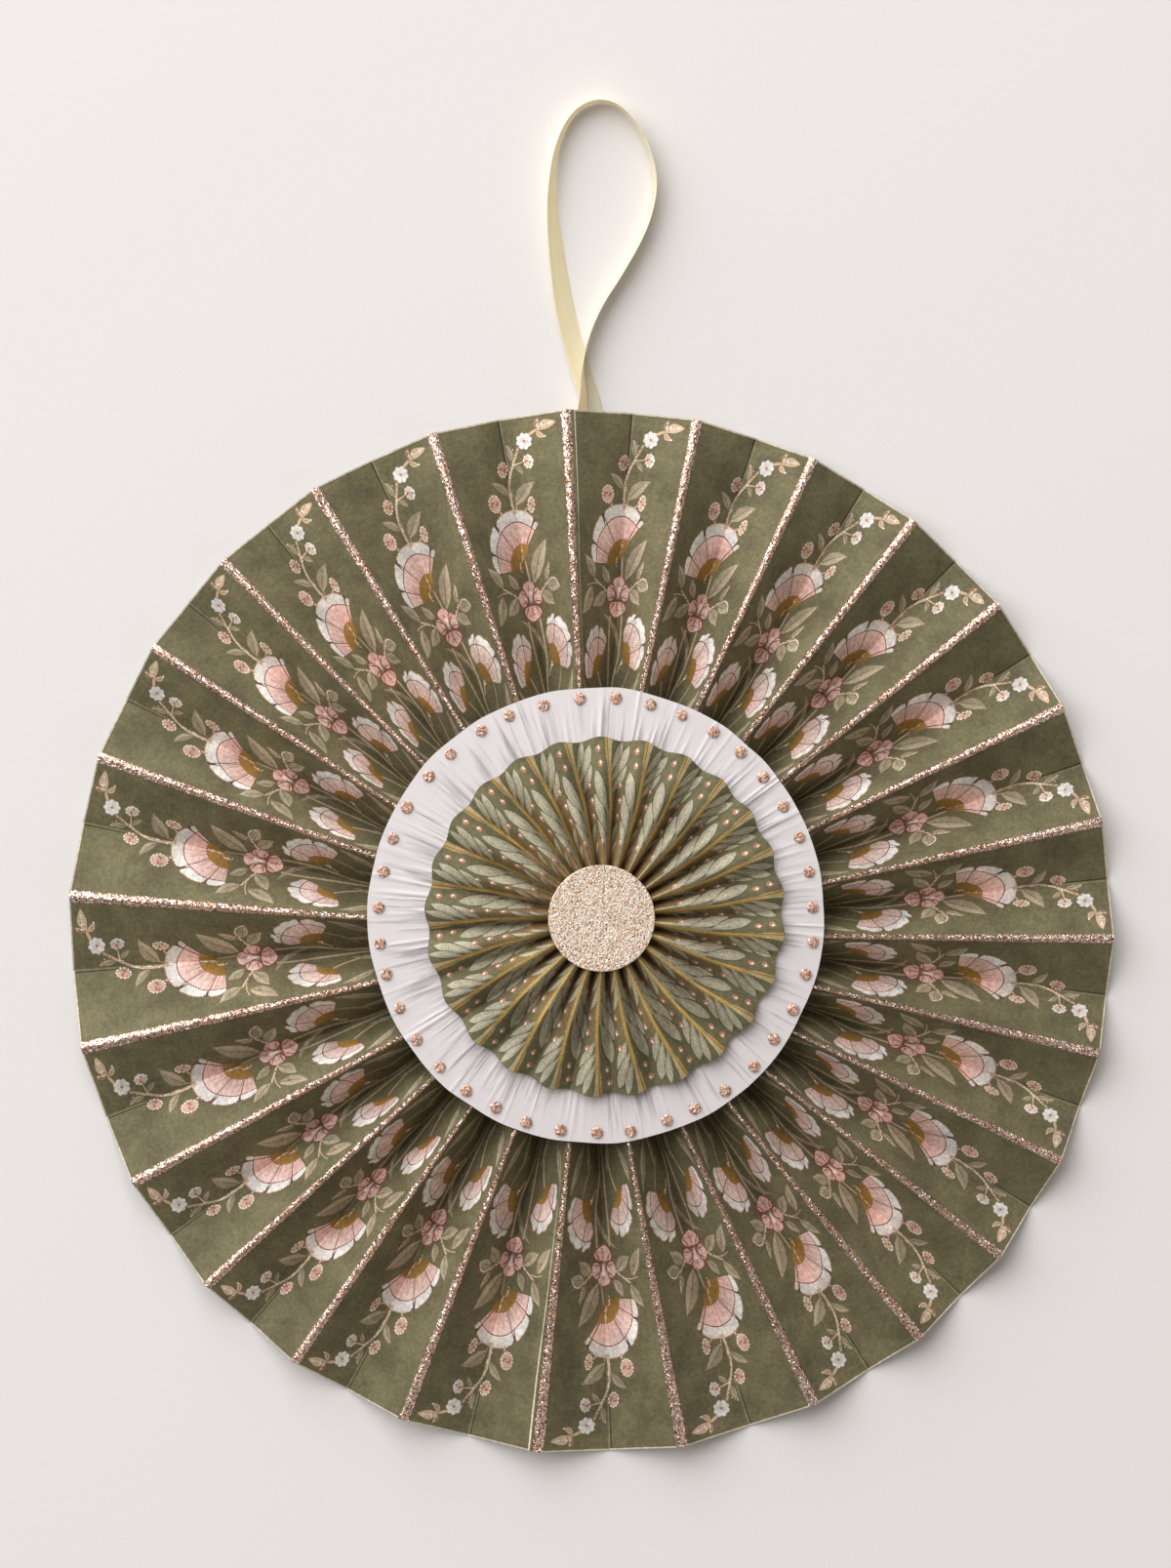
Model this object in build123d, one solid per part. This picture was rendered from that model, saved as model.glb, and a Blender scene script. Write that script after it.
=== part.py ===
from build123d import *
import os
from math import asin, cos, degrees, hypot, pi, radians, sin, sqrt, tan

# Paper fan medallion, lying on its back with the printed face up. Millimetres, +Z up out of
# the face, +Y towards the ribbon. The origin is the centre of the large rosette, on the
# surface that the medallion lies on. Angles are clock angles: degrees clockwise from +Y.

# Large rosette: one strip of printed paper, folded and closed into a ring
rim_radius = 150.0
hub_radius = 6.0
pleat_count = 26
rim_ridge_height = 9.15  # of the ridges over the valleys, at the rim
paper = 0.28
first_ridge = 8.1
# How the hand-made folds drift from an even spacing: (waves a turn, degrees, phase)
fold_drift = ((1, 3.8, 27.5), (2, 0.8, 241.0), (3, 0.65, 195.0), (4, 1.35, 327.5), (5, 0.55, 71.0))
inner_steps = 2  # rows of points over the backing disc, an equal turn of the facet apart
outer_steps = 4  # and beyond it

# Glitter glue drawn along each ridge fold
bead_width = 1.95  # on each of the two facets
bead_height = 0.22  # over the fold
bead_edge_height = 0.12

# Card disc glued over the hub at the back
backing_radius = 75.0
backing_card = 0.4

# Gathered white collar
collar_radius = 65.0
collar_hole_radius = 9.0
collar_centre = (1.4, 5.1)
gather_count = 50
gather_height = 0.55
crepe = 0.2
collar_rows = 2

# Glitter dots near the collar's edge
dot_count = 39
dot_radius = 1.75
dot_height = 0.35
dot_inset = 3.3  # from the collar's edge to the dots' middles
dot_sides = 8

# Small rosette: the same fold at a third of the size, with soft crests
small_radius = 50.5
small_hub_radius = 6.0
small_centre = (3.9, 4.8)
small_pleat_count = 25
small_rim_height = 2.5  # of the crests over the valleys, at the rim
small_first_crest = -2.4
small_drift = ((1, 1.6, 55.0), (2, 0.85, 59.0), (3, 0.75, 233.0))
small_rim_swell = 0.6  # how far the rim bulges at a crest and draws in at a valley
small_rows = 4

# Glitter card disc in the middle
disc_radius = 15.0
disc_card = 0.8
disc_centre = (2.9, 4.6)

# Satin ribbon loop
ribbon_width = 6.0
ribbon_thickness = 0.3
arc_share = 0.45  # of the shorter run beside a point, taken by the arc at that point

glue = 0.1  # film of glue between the layers
bead_glue = 0.02

# Middle line of the ribbon, with the angle of its width above the ground, seen along the route
# with the left edge up. It runs from one glued end over the loop to the other.
ribbon_route = (
    (0.3, 60.0, 0.65, 0), (0.5, 84.0, 0.45, 0), (1.3, 112.0, 0.25, 0), (1.7, 136.0, 0.25, 0),
    (0.4, 151.5, 0.35, 3), (-3.2, 162.5, 0.75, 14), (-7.6, 178.0, 1.4, 24), (-10.3, 197.0, 2.3, 44),
    (-11.6, 213.0, 2.95, 66), (-9.6, 228.5, 3.15, 82), (-3.4, 238.4, 3.2, 90), (6.6, 239.6, 3.2, 90),
    (14.8, 230.6, 3.15, 84), (19.1, 217.0, 3.05, 73), (16.8, 204.0, 3.05, 73), (9.8, 190.5, 3.15, 78),
    (1.6, 178.2, 3.2, 84), (-2.7, 164.5, 3.35, 90), (-1.9, 151.2, 3.2, 118), (-4.2, 138.0, 2.2, 145),
    (-6.0, 118.0, 0.75, 172), (-5.9, 94.0, 0.35, 180), (-5.8, 78.0, 0.55, 180), (-5.8, 60.0, 0.65, 180),
)


# Shared geometry

def around(radius, clock, centre=(0.0, 0.0)):
    """Plan position at a radius and a clock angle about a centre."""
    return centre[0] + radius * sin(radians(clock)), centre[1] + radius * cos(radians(clock))


def drifted(first, turn, drift):
    """Clock angle of a hand-made fold, whose spacing drifts slowly round the ring."""
    return first + turn + sum(size * cos(radians(waves * turn + phase))
                              for waves, size, phase in drift)


def triangle(a, b, c):
    """The flat face between three points, or nothing where two of them meet."""
    corners = [Vector(p) for p in (a, b, c)]
    sides = [(corners[i] - corners[i - 1]).length for i in range(3)]
    if min(sides) < 1e-4:
        return []
    return [Face(Wire.make_polygon(corners, close=True))]


def quad(a, b, c, d):
    """Two flat faces that fill four corners, given in turn round the edge."""
    return triangle(a, b, c) + triangle(a, c, d)


def paper_solid(rows, ring):
    """One thin solid from rows of (upper, lower) points. A ring's rows close on themselves."""
    faces = []
    width = len(rows[0])
    columns = range(width) if ring else range(width - 1)
    for near, far in zip(rows, rows[1:]):
        for j in columns:
            k = (j + 1) % width
            for side in (0, 1):
                faces += quad(near[j][side], near[k][side], far[k][side], far[j][side])
    for row in (rows[0], rows[-1]):
        for j in columns:
            k = (j + 1) % width
            faces += quad(row[j][0], row[k][0], row[k][1], row[j][1])
    if not ring:
        for near, far in zip(rows, rows[1:]):
            for j in (0, width - 1):
                faces += quad(near[j][0], far[j][0], far[j][1], near[j][1])
    return Solid(Shell(faces))


# Heights that one layer hands to the next

def facet_width(rim, height, count):
    """Width of the paper from a valley to the next ridge, the same all along the fold."""
    return hypot(height, pi * rim / count)


def pleat_height(radius, rim, height, count):
    """Height of a ridge over its valleys: the height at the rim, and more further in."""
    return sqrt(facet_width(rim, height, count) ** 2 - (pi * radius / count) ** 2)


def valley_floor(radius):
    """Underside of the large rosette's valley folds: on the card, then down to the rim."""
    on_card = backing_card + bead_glue
    slope = (rim_radius - radius) / (rim_radius - backing_radius)
    return on_card * min(1.0, max(0.0, slope))


def ridge_top(radius):
    """Top of the large rosette's ridge folds."""
    height = pleat_height(radius, rim_radius, rim_ridge_height, pleat_count)
    return valley_floor(radius) + height


def collar_seat(x, y):
    """Underside of the collar, which lies on the ridges and their beads."""
    return ridge_top(hypot(x, y)) + bead_height + glue


def collar_top(x, y):
    return collar_seat(x, y) + gather_height + crepe


# Large rosette

def fold_clock(fold):
    """Clock angle of a fold. Even folds are ridges."""
    return drifted(first_ridge, 360 * fold / (2 * pleat_count), fold_drift)


def half_pitch(fold, radius):
    """Distance round the ring from a fold to the next one."""
    return radius * radians(fold_clock(fold + 1) - fold_clock(fold - 1)) / 2


def facet_slope(pitch, height, crown):
    """Slope of a facet of full thickness between folds whose crowns are as wide as the paper."""
    run = pitch - crown
    spread = run * run - crown * crown
    return (height * run - crown * sqrt(height * height + spread)) / spread


def fold_points(fold, radius):
    """Crown corners and inner corner of a fold, as (offset round the ring, height)."""
    floor = valley_floor(radius)
    height = ridge_top(radius) - floor
    pitch = half_pitch(fold, radius)
    slope = facet_slope(pitch, height, paper)
    inner = slope * (pitch - paper / 2)
    crown = paper / 2
    if fold % 2 == 0:
        return (-crown, floor + height), (crown, floor + height), (0.0, floor + inner)
    return (-crown, floor), (crown, floor), (0.0, floor + height - inner)


def rosette_point(fold, radius, place):
    """A point of the large rosette at an offset round the ring from a fold."""
    x, y = around(radius, fold_clock(fold) + degrees(place[0] / radius))
    return Vector(x, y, place[1])


def sheet_rows():
    """Radii of the rows, with one just past the edge of the backing disc."""
    flat = facet_width(rim_radius, rim_ridge_height, pleat_count) * pleat_count / pi
    hub, card, rim = [asin(r / flat) for r in (hub_radius, backing_radius, rim_radius)]
    inner = [hub + (card - hub) * i / inner_steps for i in range(inner_steps)]
    outer = [card + (rim - card) * i / outer_steps for i in range(outer_steps + 1)]
    return [flat * sin(lean) for lean in inner + outer]


def valley_corner(ridge, side, radius):
    """Inner corner of the valley fold beside a ridge, and the crown corner nearer the ridge."""
    valley = ridge + side
    left, right, inner = fold_points(valley, radius)
    near = right if side < 0 else left
    return rosette_point(valley, radius, inner), rosette_point(valley, radius, near)


def ridge_points(ridge, radius):
    """Over a ridge, from one edge of its glitter to the other: (upper, lower) points."""
    left, right, inner = fold_points(ridge, radius)
    under = rosette_point(ridge, radius, inner)
    row = []
    for side, place in ((-1, left), (1, right)):
        crown = rosette_point(ridge, radius, place)
        valley, valley_crown = valley_corner(ridge, side, radius)
        share = bead_width / (valley - crown).length
        edge = (crown + (valley - crown) * share, under + (valley_crown - under) * share)
        row += [edge, (crown, under)] if side < 0 else [(crown, under), edge]
    return row


def rosette_row(radius):
    """All (upper, lower) points of the large rosette at one radius."""
    row = []
    for ridge in range(0, 2 * pleat_count, 2):
        for side in (-1, 1):
            inner = valley_corner(ridge, -1, radius)[0]
            corner = rosette_point(ridge - 1, radius, fold_points(ridge - 1, radius)[(side + 1) // 2])
            row.append((inner, corner))
        row += ridge_points(ridge, radius)
    return row


def large_rosette():
    return paper_solid([rosette_row(radius) for radius in sheet_rows()], ring=True)


# Glitter beads on the ridges

def bead_row(ridge, radius):
    """Section of a bead: its underside follows the fold, and its top stands off it all round."""
    left, crown_left, crown_right, right = [upper for upper, _ in ridge_points(ridge, radius)]
    section = []
    for edge, corner in ((left, crown_left), (right, crown_right)):
        along = (edge - corner).normalized()
        outward = (Vector(0, 0, 1) - along * along.Z).normalized()
        crown_way = (outward + Vector(0, 0, 1)).normalized()
        section.append((edge + outward * bead_edge_height, edge))
        section.append((corner + crown_way * bead_height, corner))
    section = [section[0], section[1], section[3], section[2]]
    lift = Vector(0, 0, bead_glue)
    return [(upper + lift, lower + lift) for upper, lower in section]


def ridge_glitter():
    beads = []
    for ridge in range(0, 2 * pleat_count, 2):
        rows = [bead_row(ridge, radius) for radius in sheet_rows()[inner_steps - 1:]]
        beads.append(paper_solid(rows, ring=False))
    return beads


# Backing disc

def backing_disc():
    return Pos(0, 0, backing_card / 2) * Cylinder(backing_radius, backing_card)


# Collar

def collar():
    """Crepe ring gathered towards its hole, with gathers of uneven height."""
    rows = []
    for i in range(collar_rows + 1):
        radius = collar_hole_radius + (collar_radius - collar_hole_radius) * i / collar_rows
        row = []
        for j in range(2 * gather_count):
            clock = 360 * j / (2 * gather_count) + 0.5 * sin(1.7 * j)
            x, y = around(radius, clock, collar_centre)
            lift = gather_height * (0.75 + 0.25 * sin(2.4 * j)) if j % 2 else 0.0
            z = collar_seat(x, y) + lift
            row.append(((x, y, z + crepe), (x, y, z)))
        rows.append(row)
    return paper_solid(rows, ring=True)


def collar_dots():
    """Drops of glitter glue, each lying on the crests of the gathers."""
    dots = []
    for i in range(dot_count):
        x, y = around(collar_radius - dot_inset, 360 * (i + 0.5) / dot_count, collar_centre)
        reach = hypot(x, y)
        shrink = (reach - dot_radius) / reach
        seat = collar_top(x * shrink, y * shrink) + bead_glue
        outline = Plane((x, y, seat)) * RegularPolygon(dot_radius, dot_sides)
        dots.append(extrude(outline, dot_height))
    return dots


# Small rosette

def small_height(radius):
    return pleat_height(radius, small_radius, small_rim_height, small_pleat_count)


def small_profile(radius):
    """One pleat's middle line from valley to the next, as (share of the half pitch, height)."""
    height = small_height(radius)
    shares = (-1.0, -0.6, -0.2, 0.2, 0.6)
    return [(share, height * cos(share * pi / 2)) for share in shares]


def small_row(radius, swell):
    half = pi * radius / small_pleat_count
    profile = small_profile(radius)
    wide = [(share * half, z) for share, z in profile]
    wide.append((half, profile[0][1]))
    row = []
    for pleat in range(small_pleat_count):
        for j, (_, z) in enumerate(profile):
            turn = 360 * (pleat + profile[j][0] / 2) / small_pleat_count
            if j == 0:
                slope = (wide[1][1] - wide[0][1]) / (wide[1][0] - wide[0][0])
                up, down = (0.0, paper / 2 * sqrt(1 + slope * slope)), (0.0, -paper / 2)
            else:
                dx, dz = wide[j + 1][0] - wide[j - 1][0], wide[j + 1][1] - wide[j - 1][1]
                length = hypot(dx, dz)
                up = (-dz / length * paper / 2, dx / length * paper / 2)
                down = (-up[0], -up[1])
            reach = radius + swell * cos(profile[j][0] * pi)
            pair = []
            for shift in (up, down):
                clock = drifted(small_first_crest, turn, small_drift) + degrees(shift[0] / radius)
                x, y = around(reach, clock, small_centre)
                floor = collar_top(x, y) + glue + paper / 2
                pair.append((x, y, floor + z + shift[1]))
            row.append(tuple(pair))
    return row


def small_rosette():
    rows = []
    for i in range(small_rows):
        share = i / (small_rows - 1)
        radius = small_hub_radius + (small_radius - small_hub_radius) * share
        rows.append(small_row(radius, small_rim_swell * share ** 4))
    return paper_solid(rows, ring=True)


# Centre disc

def disc_seat():
    """Top of the small rosette's hub, where the disc is glued on."""
    return collar_top(0, 0) + glue + small_height(small_hub_radius) + paper + glue


def centre_disc():
    x, y = disc_centre
    return Pos(x, y, disc_seat() + disc_card / 2) * Cylinder(disc_radius, disc_card)


# Ribbon

def ribbon_path():
    """Straight runs joined by arcs, each as large as its two runs allow."""
    points = [Vector(*step[:3]) for step in ribbon_route]
    radii = []
    for before, point, after in zip(points, points[1:], points[2:]):
        shorter = min((point - before).length, (after - point).length)
        turn = (point - before).get_angle(after - point)
        radii.append(arc_share * shorter / tan(radians(turn) / 2))
    print("ribbon radii", [round(r, 1) for r in radii])
    return FilletPolyline(*points, radius=radii)


def ribbon():
    """A flat band that turns over as it runs, thin across the middle line of its path."""
    path = ribbon_path()
    points = [Vector(*step[:3]) for step in ribbon_route]
    rolls = [step[3] for step in ribbon_route]
    stops = [(points[0], points[1] - points[0], rolls[0])]
    arcs = [edge for edge in path.edges() if edge.geom_type == GeomType.CIRCLE]
    for i in range(1, len(points) - 1):
        arc = min(arcs, key=lambda edge: (edge @ 0.5 - points[i]).length)
        if (arc @ 0 - points[i - 1]).length > (arc @ 1 - points[i - 1]).length:
            ends = (1, 0.5, 0)
        else:
            ends = (0, 0.5, 1)
        for end, part in zip(ends, (-1, 0, 1)):
            other = i + part
            span = (points[other] - points[i]).length if part else 1.0
            share = (arc @ end - points[i]).length / span if part else 0.0
            roll = rolls[i] + (rolls[other] - rolls[i]) * share
            tangent = arc % end if ends[0] == 0 else -(arc % end)
            stops.append((arc @ end, tangent, roll))
    stops.append((points[-1], points[-1] - points[-2], rolls[-1]))
    rows = []
    for place, tangent, roll in stops:
        forward = tangent.normalized()
        left = Vector(0, 0, 1).cross(forward).normalized()
        upward = forward.cross(left)
        across = left * cos(radians(roll)) + upward * sin(radians(roll))
        skin = forward.cross(across) * (ribbon_thickness / 2)
        edge = across * (ribbon_width / 2)
        rows.append([(tuple(place + way * edge + skin), tuple(place + way * edge - skin))
                     for way in (1, -1)])
    band = paper_solid(rows, ring=False)
    length = sum(edge.length for edge in path.edges())
    print("ribbon length", round(length, 1), "volume over section times length",
          round(band.volume / (length * ribbon_width * ribbon_thickness), 3))
    return band


def save(name, shape):
    solids = shape if isinstance(shape, list) else [shape]
    solids = [solid for item in solids for solid in item.solids()]
    export_step(Compound(children=solids) if len(solids) > 1 else solids[0], f"parts/{name}.step")


os.makedirs("parts", exist_ok=True)
save("large_rosette", large_rosette())
save("ridge_glitter", ridge_glitter())
save("backing_disc", backing_disc())
save("collar", collar())
save("collar_dots", collar_dots())
save("small_rosette", small_rosette())
save("centre_disc", centre_disc())
save("ribbon", ribbon())
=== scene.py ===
import random
from math import ceil, cos, hypot, pi, radians, sin, sqrt

import bpy
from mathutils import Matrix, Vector, noise
from mathutils.geometry import delaunay_2d_cdt


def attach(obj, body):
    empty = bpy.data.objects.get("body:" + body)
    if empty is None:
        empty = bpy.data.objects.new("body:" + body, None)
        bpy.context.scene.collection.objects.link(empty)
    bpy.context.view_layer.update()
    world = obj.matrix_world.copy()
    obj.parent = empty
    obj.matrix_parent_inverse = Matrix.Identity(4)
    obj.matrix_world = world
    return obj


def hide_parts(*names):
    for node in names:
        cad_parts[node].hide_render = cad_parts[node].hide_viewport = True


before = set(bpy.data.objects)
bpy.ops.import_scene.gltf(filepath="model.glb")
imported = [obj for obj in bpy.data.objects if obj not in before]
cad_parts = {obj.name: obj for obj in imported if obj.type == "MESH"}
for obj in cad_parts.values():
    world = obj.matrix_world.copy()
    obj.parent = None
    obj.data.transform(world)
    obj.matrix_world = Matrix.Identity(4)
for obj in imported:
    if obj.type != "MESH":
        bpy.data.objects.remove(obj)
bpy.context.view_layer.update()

# Paper fan medallion, lying on its back and seen from straight above. Settings are in
# millimetres and degrees, and the meshes in metres. Angles round the fan are clock angles,
# clockwise from +Y, where the ribbon is.
mm = 0.001


def linear(hexColour):
    channels = [int(hexColour[i:i + 2], 16) / 255 for i in (1, 3, 5)]
    return [c / 12.92 if c <= 0.04045 else ((c + 0.055) / 1.055) ** 2.4 for c in channels] + [1.0]


def addNode(tree, kind, settings=None, links=None):
    node = tree.nodes.new(kind)
    for name, value in (settings or {}).items():
        if isinstance(name, int) or name in node.inputs:
            node.inputs[name].default_value = value
        else:
            setattr(node, name, value)
    for name, source in (links or {}).items():
        tree.links.new(source, node.inputs[name])
    return node


def newMaterial(name):
    material = bpy.data.materials.new(name)
    material.use_nodes = True
    material.node_tree.nodes.clear()
    return material, material.node_tree


def lumps(tree, place, size, **settings):
    # Noise whose lumps are about this many millimetres wide
    return addNode(tree, "ShaderNodeTexNoise", {"Scale": 1 / (size * mm), **settings},
                   {"Vector": place}).outputs["Fac"]


def spanned(tree, value, low, high, toLow=0.0, toHigh=1.0):
    return addNode(tree, "ShaderNodeMapRange",
                   {"From Min": low, "From Max": high, "To Min": toLow, "To Max": toHigh},
                   {"Value": value}).outputs[0]


def combined(tree, operation, first, second):
    return addNode(tree, "ShaderNodeMath", {"operation": operation}, {0: first, 1: second}).outputs[0]


def toned(tree, hexColour, share):
    return addNode(tree, "ShaderNodeVectorMath", {"operation": "SCALE", 0: linear(hexColour)[:3]},
                   {"Scale": share}).outputs[0]


def blended(tree, fromHex, toHex, share):
    return addNode(tree, "ShaderNodeMix",
                   {"data_type": "RGBA", 6: linear(fromHex), 7: linear(toHex)},
                   {"Factor": share}).outputs[2]


def finishSurface(tree, colour, height, strength, depth, settings):
    bump = addNode(tree, "ShaderNodeBump", {"Strength": strength, "Distance": depth * mm},
                   {"Height": height})
    shader = addNode(tree, "ShaderNodeBsdfPrincipled", settings,
                     {"Base Color": colour, "Normal": bump.outputs[0]})
    addNode(tree, "ShaderNodeOutputMaterial", links={"Surface": shader.outputs[0]})


def waveScale(pitch):
    # Blender's band wave has one full wave in pi / 10 of its scaled coordinate
    return pi / 10 / (pitch * mm)


# Linen-embossed printed paper, matt. The rollers leave a fine crossed thread pattern, which
# breaks up the light a little. The real threads are 0.45 mm apart; they are drawn at 0.7 mm,
# and at 0.8 mm on the small rosette, so that they still show in the render.
def linenPaper(name, threadPitch=0.7):
    material, tree = newMaterial(name)
    sheetMap = addNode(tree, "ShaderNodeUVMap", {"uv_map": "sheet"}).outputs["UV"]
    ink = addNode(tree, "ShaderNodeAttribute", {"attribute_name": "ink"}).outputs["Color"]
    threads = [addNode(tree, "ShaderNodeTexWave",
                       {"bands_direction": way, "Scale": waveScale(threadPitch), "Distortion": 3.0,
                        "Detail": 3.0, "Detail Scale": 0.5}, {"Vector": sheetMap}).outputs["Color"]
               for way in ("X", "Y")]
    crossed = combined(tree, "ADD", *threads)
    weave = combined(tree, "MULTIPLY", crossed, lumps(tree, sheetMap, 1.6, Detail=3.0))
    # Ink sinks in unevenly, in soft patches 11 mm across with finer ones in them
    place = addNode(tree, "ShaderNodeTexCoord").outputs["Object"]
    patches = lumps(tree, place, 11, Detail=6.0, Roughness=0.62)
    tone = spanned(tree, weave, 0.2, 0.9, 0.86, 1.12)
    cloud = spanned(tree, patches, 0.36, 0.64, 0.76, 1.2)
    # Darker flecks, where fibres lie in clumps about 1.2 mm across
    clumps = lumps(tree, sheetMap, 1.2, Detail=4.0, Roughness=0.7)
    fleck = spanned(tree, clumps, 0.34, 0.66, 0.76, 1.2)
    shade = combined(tree, "MULTIPLY", combined(tree, "MULTIPLY", tone, cloud), fleck)
    colour = addNode(tree, "ShaderNodeVectorMath", {"operation": "SCALE"}, {0: ink, "Scale": shade})
    finishSurface(tree, colour.outputs[0], weave, 0.5, 0.04,
                  {"Roughness": 0.78, "Specular IOR Level": 0.35})
    return material


# Uncoated paper or card: pulp fibres give a soft mottle and no gloss.
def plainPaper(name, hexColour, grain=0.7, mottle=0.055):
    material, tree = newMaterial(name)
    place = addNode(tree, "ShaderNodeTexCoord").outputs["Object"]
    fibres = lumps(tree, place, grain, Detail=5.0)
    colour = toned(tree, hexColour, spanned(tree, fibres, 0.3, 0.7, 1 - mottle, 1 + mottle))
    finishSurface(tree, colour, fibres, 0.35, 0.04, {"Roughness": 0.9, "Specular IOR Level": 0.3})
    return material


# White crepe paper: crinkled on a roller, so it has fine folds that all run one way, here
# towards the middle. They are 0.5 mm apart and drawn at 0.9 mm. Their creases are coloured
# with painted shade, and from the inner to the outer radius that painted shade gets lighter.
def crepePaper(name, hexColour, shadowHex, inner, outer):
    material, tree = newMaterial(name)
    sheetMap = addNode(tree, "ShaderNodeUVMap", {"uv_map": "sheet"}).outputs["UV"]
    # Creases 0.9 mm and 3 mm apart, both far longer than wide
    fine, broad = [
        addNode(tree, "ShaderNodeTexNoise", {"Scale": 1.0, "Detail": 3.0, "Roughness": 0.6},
                {"Vector": addNode(tree, "ShaderNodeMapping",
                                   {"Scale": (1 / (pitch * mm), 1 / (length * mm), 1.0)},
                                   {"Vector": sheetMap}).outputs[0]}).outputs["Fac"]
        for pitch, length in ((0.9, 16), (3.0, 34))]
    both = addNode(tree, "ShaderNodeMath", {"operation": "MULTIPLY_ADD", 1: 0.7}, {0: fine, 2: broad})
    place = addNode(tree, "ShaderNodeSeparateXYZ", links={"Vector": sheetMap}).outputs["Y"]
    # Painted crease shade: the creases run from the shade colour to the white, lighter towards the outer
    # edge
    creaseShadeFade = spanned(tree, place, inner * mm, outer * mm, 0.0, 0.16)
    tone = spanned(tree, combined(tree, "ADD", both.outputs[0], creaseShadeFade), 0.66, 0.9)
    finishSurface(tree, blended(tree, shadowHex, hexColour, tone), both.outputs[0], 0.7, 0.14,
                  {"Roughness": 0.85, "Specular IOR Level": 0.3})
    return material


# Glitter: flakes of metallised film, cut to 0.4 mm and strewn in clear glue. Each flake is a
# little mirror, tinted by its lacquer, so neighbours flash or go dark. The glue that lies on
# most flakes makes them less metallic than bare film.
def glitterFlake(name, hexColour, metallic, roughness):
    material, tree = newMaterial(name)
    place = addNode(tree, "ShaderNodeTexCoord").outputs["Object"]
    # Creases in the film vary a flake's tone and tilt
    grit = lumps(tree, place, 0.35, Detail=2.0)
    colour = toned(tree, hexColour, spanned(tree, grit, 0.3, 0.7, 0.75, 1.15))
    finishSurface(tree, colour, grit, 0.5, 0.06, {"Metallic": metallic, "Roughness": roughness})
    return material


# Polyester satin: long floats lie along the ribbon and give a broad soft gloss across it.
# The warp ends are 0.12 mm apart and drawn at 0.5 mm.
def satinWeave(name, hexColour, warmHex):
    material, tree = newMaterial(name)
    ribbonMap = addNode(tree, "ShaderNodeUVMap", {"uv_map": "sheet"}).outputs["UV"]
    floats = addNode(tree, "ShaderNodeTexWave",
                     {"bands_direction": "X", "Scale": waveScale(0.5), "Distortion": 2.5, "Detail": 3.0,
                      "Detail Scale": 0.4}, {"Vector": ribbonMap}).outputs["Color"]
    lengths = addNode(tree, "ShaderNodeMapping", {"Scale": (1 / (1.2 * mm), 1 / (16 * mm), 1.0)},
                      {"Vector": ribbonMap})
    drift = addNode(tree, "ShaderNodeTexNoise", {"Scale": 1.0, "Detail": 4.0},
                    {"Vector": lengths.outputs[0]}).outputs["Fac"]
    # The weave is thin, so light glows through it and warms the shadow
    finishSurface(tree, blended(tree, warmHex, hexColour, drift), floats, 0.25, 0.05,
                  {"Roughness": 0.5, "Specular IOR Level": 0.3, "Sheen Weight": 0.08,
                   "Anisotropic": 0.5, "Subsurface Weight": 0.85,
                   "Subsurface Radius": (1.0, 0.88, 0.72), "Subsurface Scale": 0.6 * mm})
    return material


class Surface:
    # Collects the points and faces of one piece
    def __init__(self, name, materials):
        self.name = name
        self.materials = materials
        self.points = []
        self.faces = []
        self.slots = []
        self.maps = []
        self.inks = []

    def addPoints(self, points):
        start = len(self.points)
        self.points += points
        return start

    def addFace(self, corners, slotIndex=0, place=None, ink=None):
        self.faces.append(corners)
        self.slots.append(slotIndex)
        self.maps += place or [(0.0, 0.0)] * len(corners)
        self.inks += ink or [(1.0, 1.0, 1.0, 1.0)] * len(corners)

    def addGrid(self, start, rows, across, slotIndex, flip=False):
        # Quads between the points of a grid, which were added row by row
        for i in range(rows):
            self.addStrip(start + i * across, start + (i + 1) * across, across, slotIndex, flip)

    def addStrip(self, near, far, across, slotIndex, flip=False):
        for j in range(across - 1):
            quad = [near + j, near + j + 1, far + j + 1, far + j]
            self.addFace(quad[::-1] if flip else quad, slotIndex)

    def finish(self, replaced, smoothAngle=None):
        mesh = bpy.data.meshes.new(self.name)
        mesh.from_pydata([tuple(c * mm for c in p) for p in self.points], [], self.faces)
        for material in self.materials:
            mesh.materials.append(material)
        mesh.polygons.foreach_set("material_index", self.slots)
        sheet = mesh.uv_layers.new(name="sheet")
        sheet.data.foreach_set("uv", [c * mm for place in self.maps for c in place])
        ink = mesh.color_attributes.new("ink", "FLOAT_COLOR", "CORNER")
        ink.data.foreach_set("color", [c for colour in self.inks for c in colour])
        if smoothAngle is not None:
            mesh.polygons.foreach_set("use_smooth", [True] * len(self.faces))
            mesh.set_sharp_from_angle(angle=radians(smoothAngle))
        mesh.validate(clean_customdata=False)
        mesh.update()
        piece = bpy.data.objects.new(self.name, mesh)
        bpy.context.scene.collection.objects.link(piece)
        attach(piece, "root")
        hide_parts(*replaced)
        print(self.name, len(self.faces), "faces")
        return piece


# Large rosette. It is drawn from the radius where the collar hides it.

largeFan = {
    "rim": 150.0, "inner": 50.0, "pleats": 26, "rimHeight": 9.15, "paper": 0.28,
    "firstRidge": 8.1,
    # How the hand-made folds drift round the ring: waves a turn, degrees, phase
    "drift": ((1, 3.8, 27.5), (2, 0.8, 241.0), (3, 0.65, 195.0), (4, 1.35, 327.5), (5, 0.55, 71.0)),
    "cardTop": 0.42, "cardRadius": 75.0,
    "rowStep": 5.0, "columnStep": 3.4,
    "sagDepth": 0.16, "sagLength": 26.0,
    "lapFolds": (50, 26), "lapWidth": 2.2, "lapFrom": 60.0, "lapSteps": 36,
    "coreAndHighlightLine": 0.42, "reverse": "#D9D2C2", "cutEdge": "#A08A72",
}
facetWidth = hypot(largeFan["rimHeight"], pi * largeFan["rim"] / largeFan["pleats"])


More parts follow.
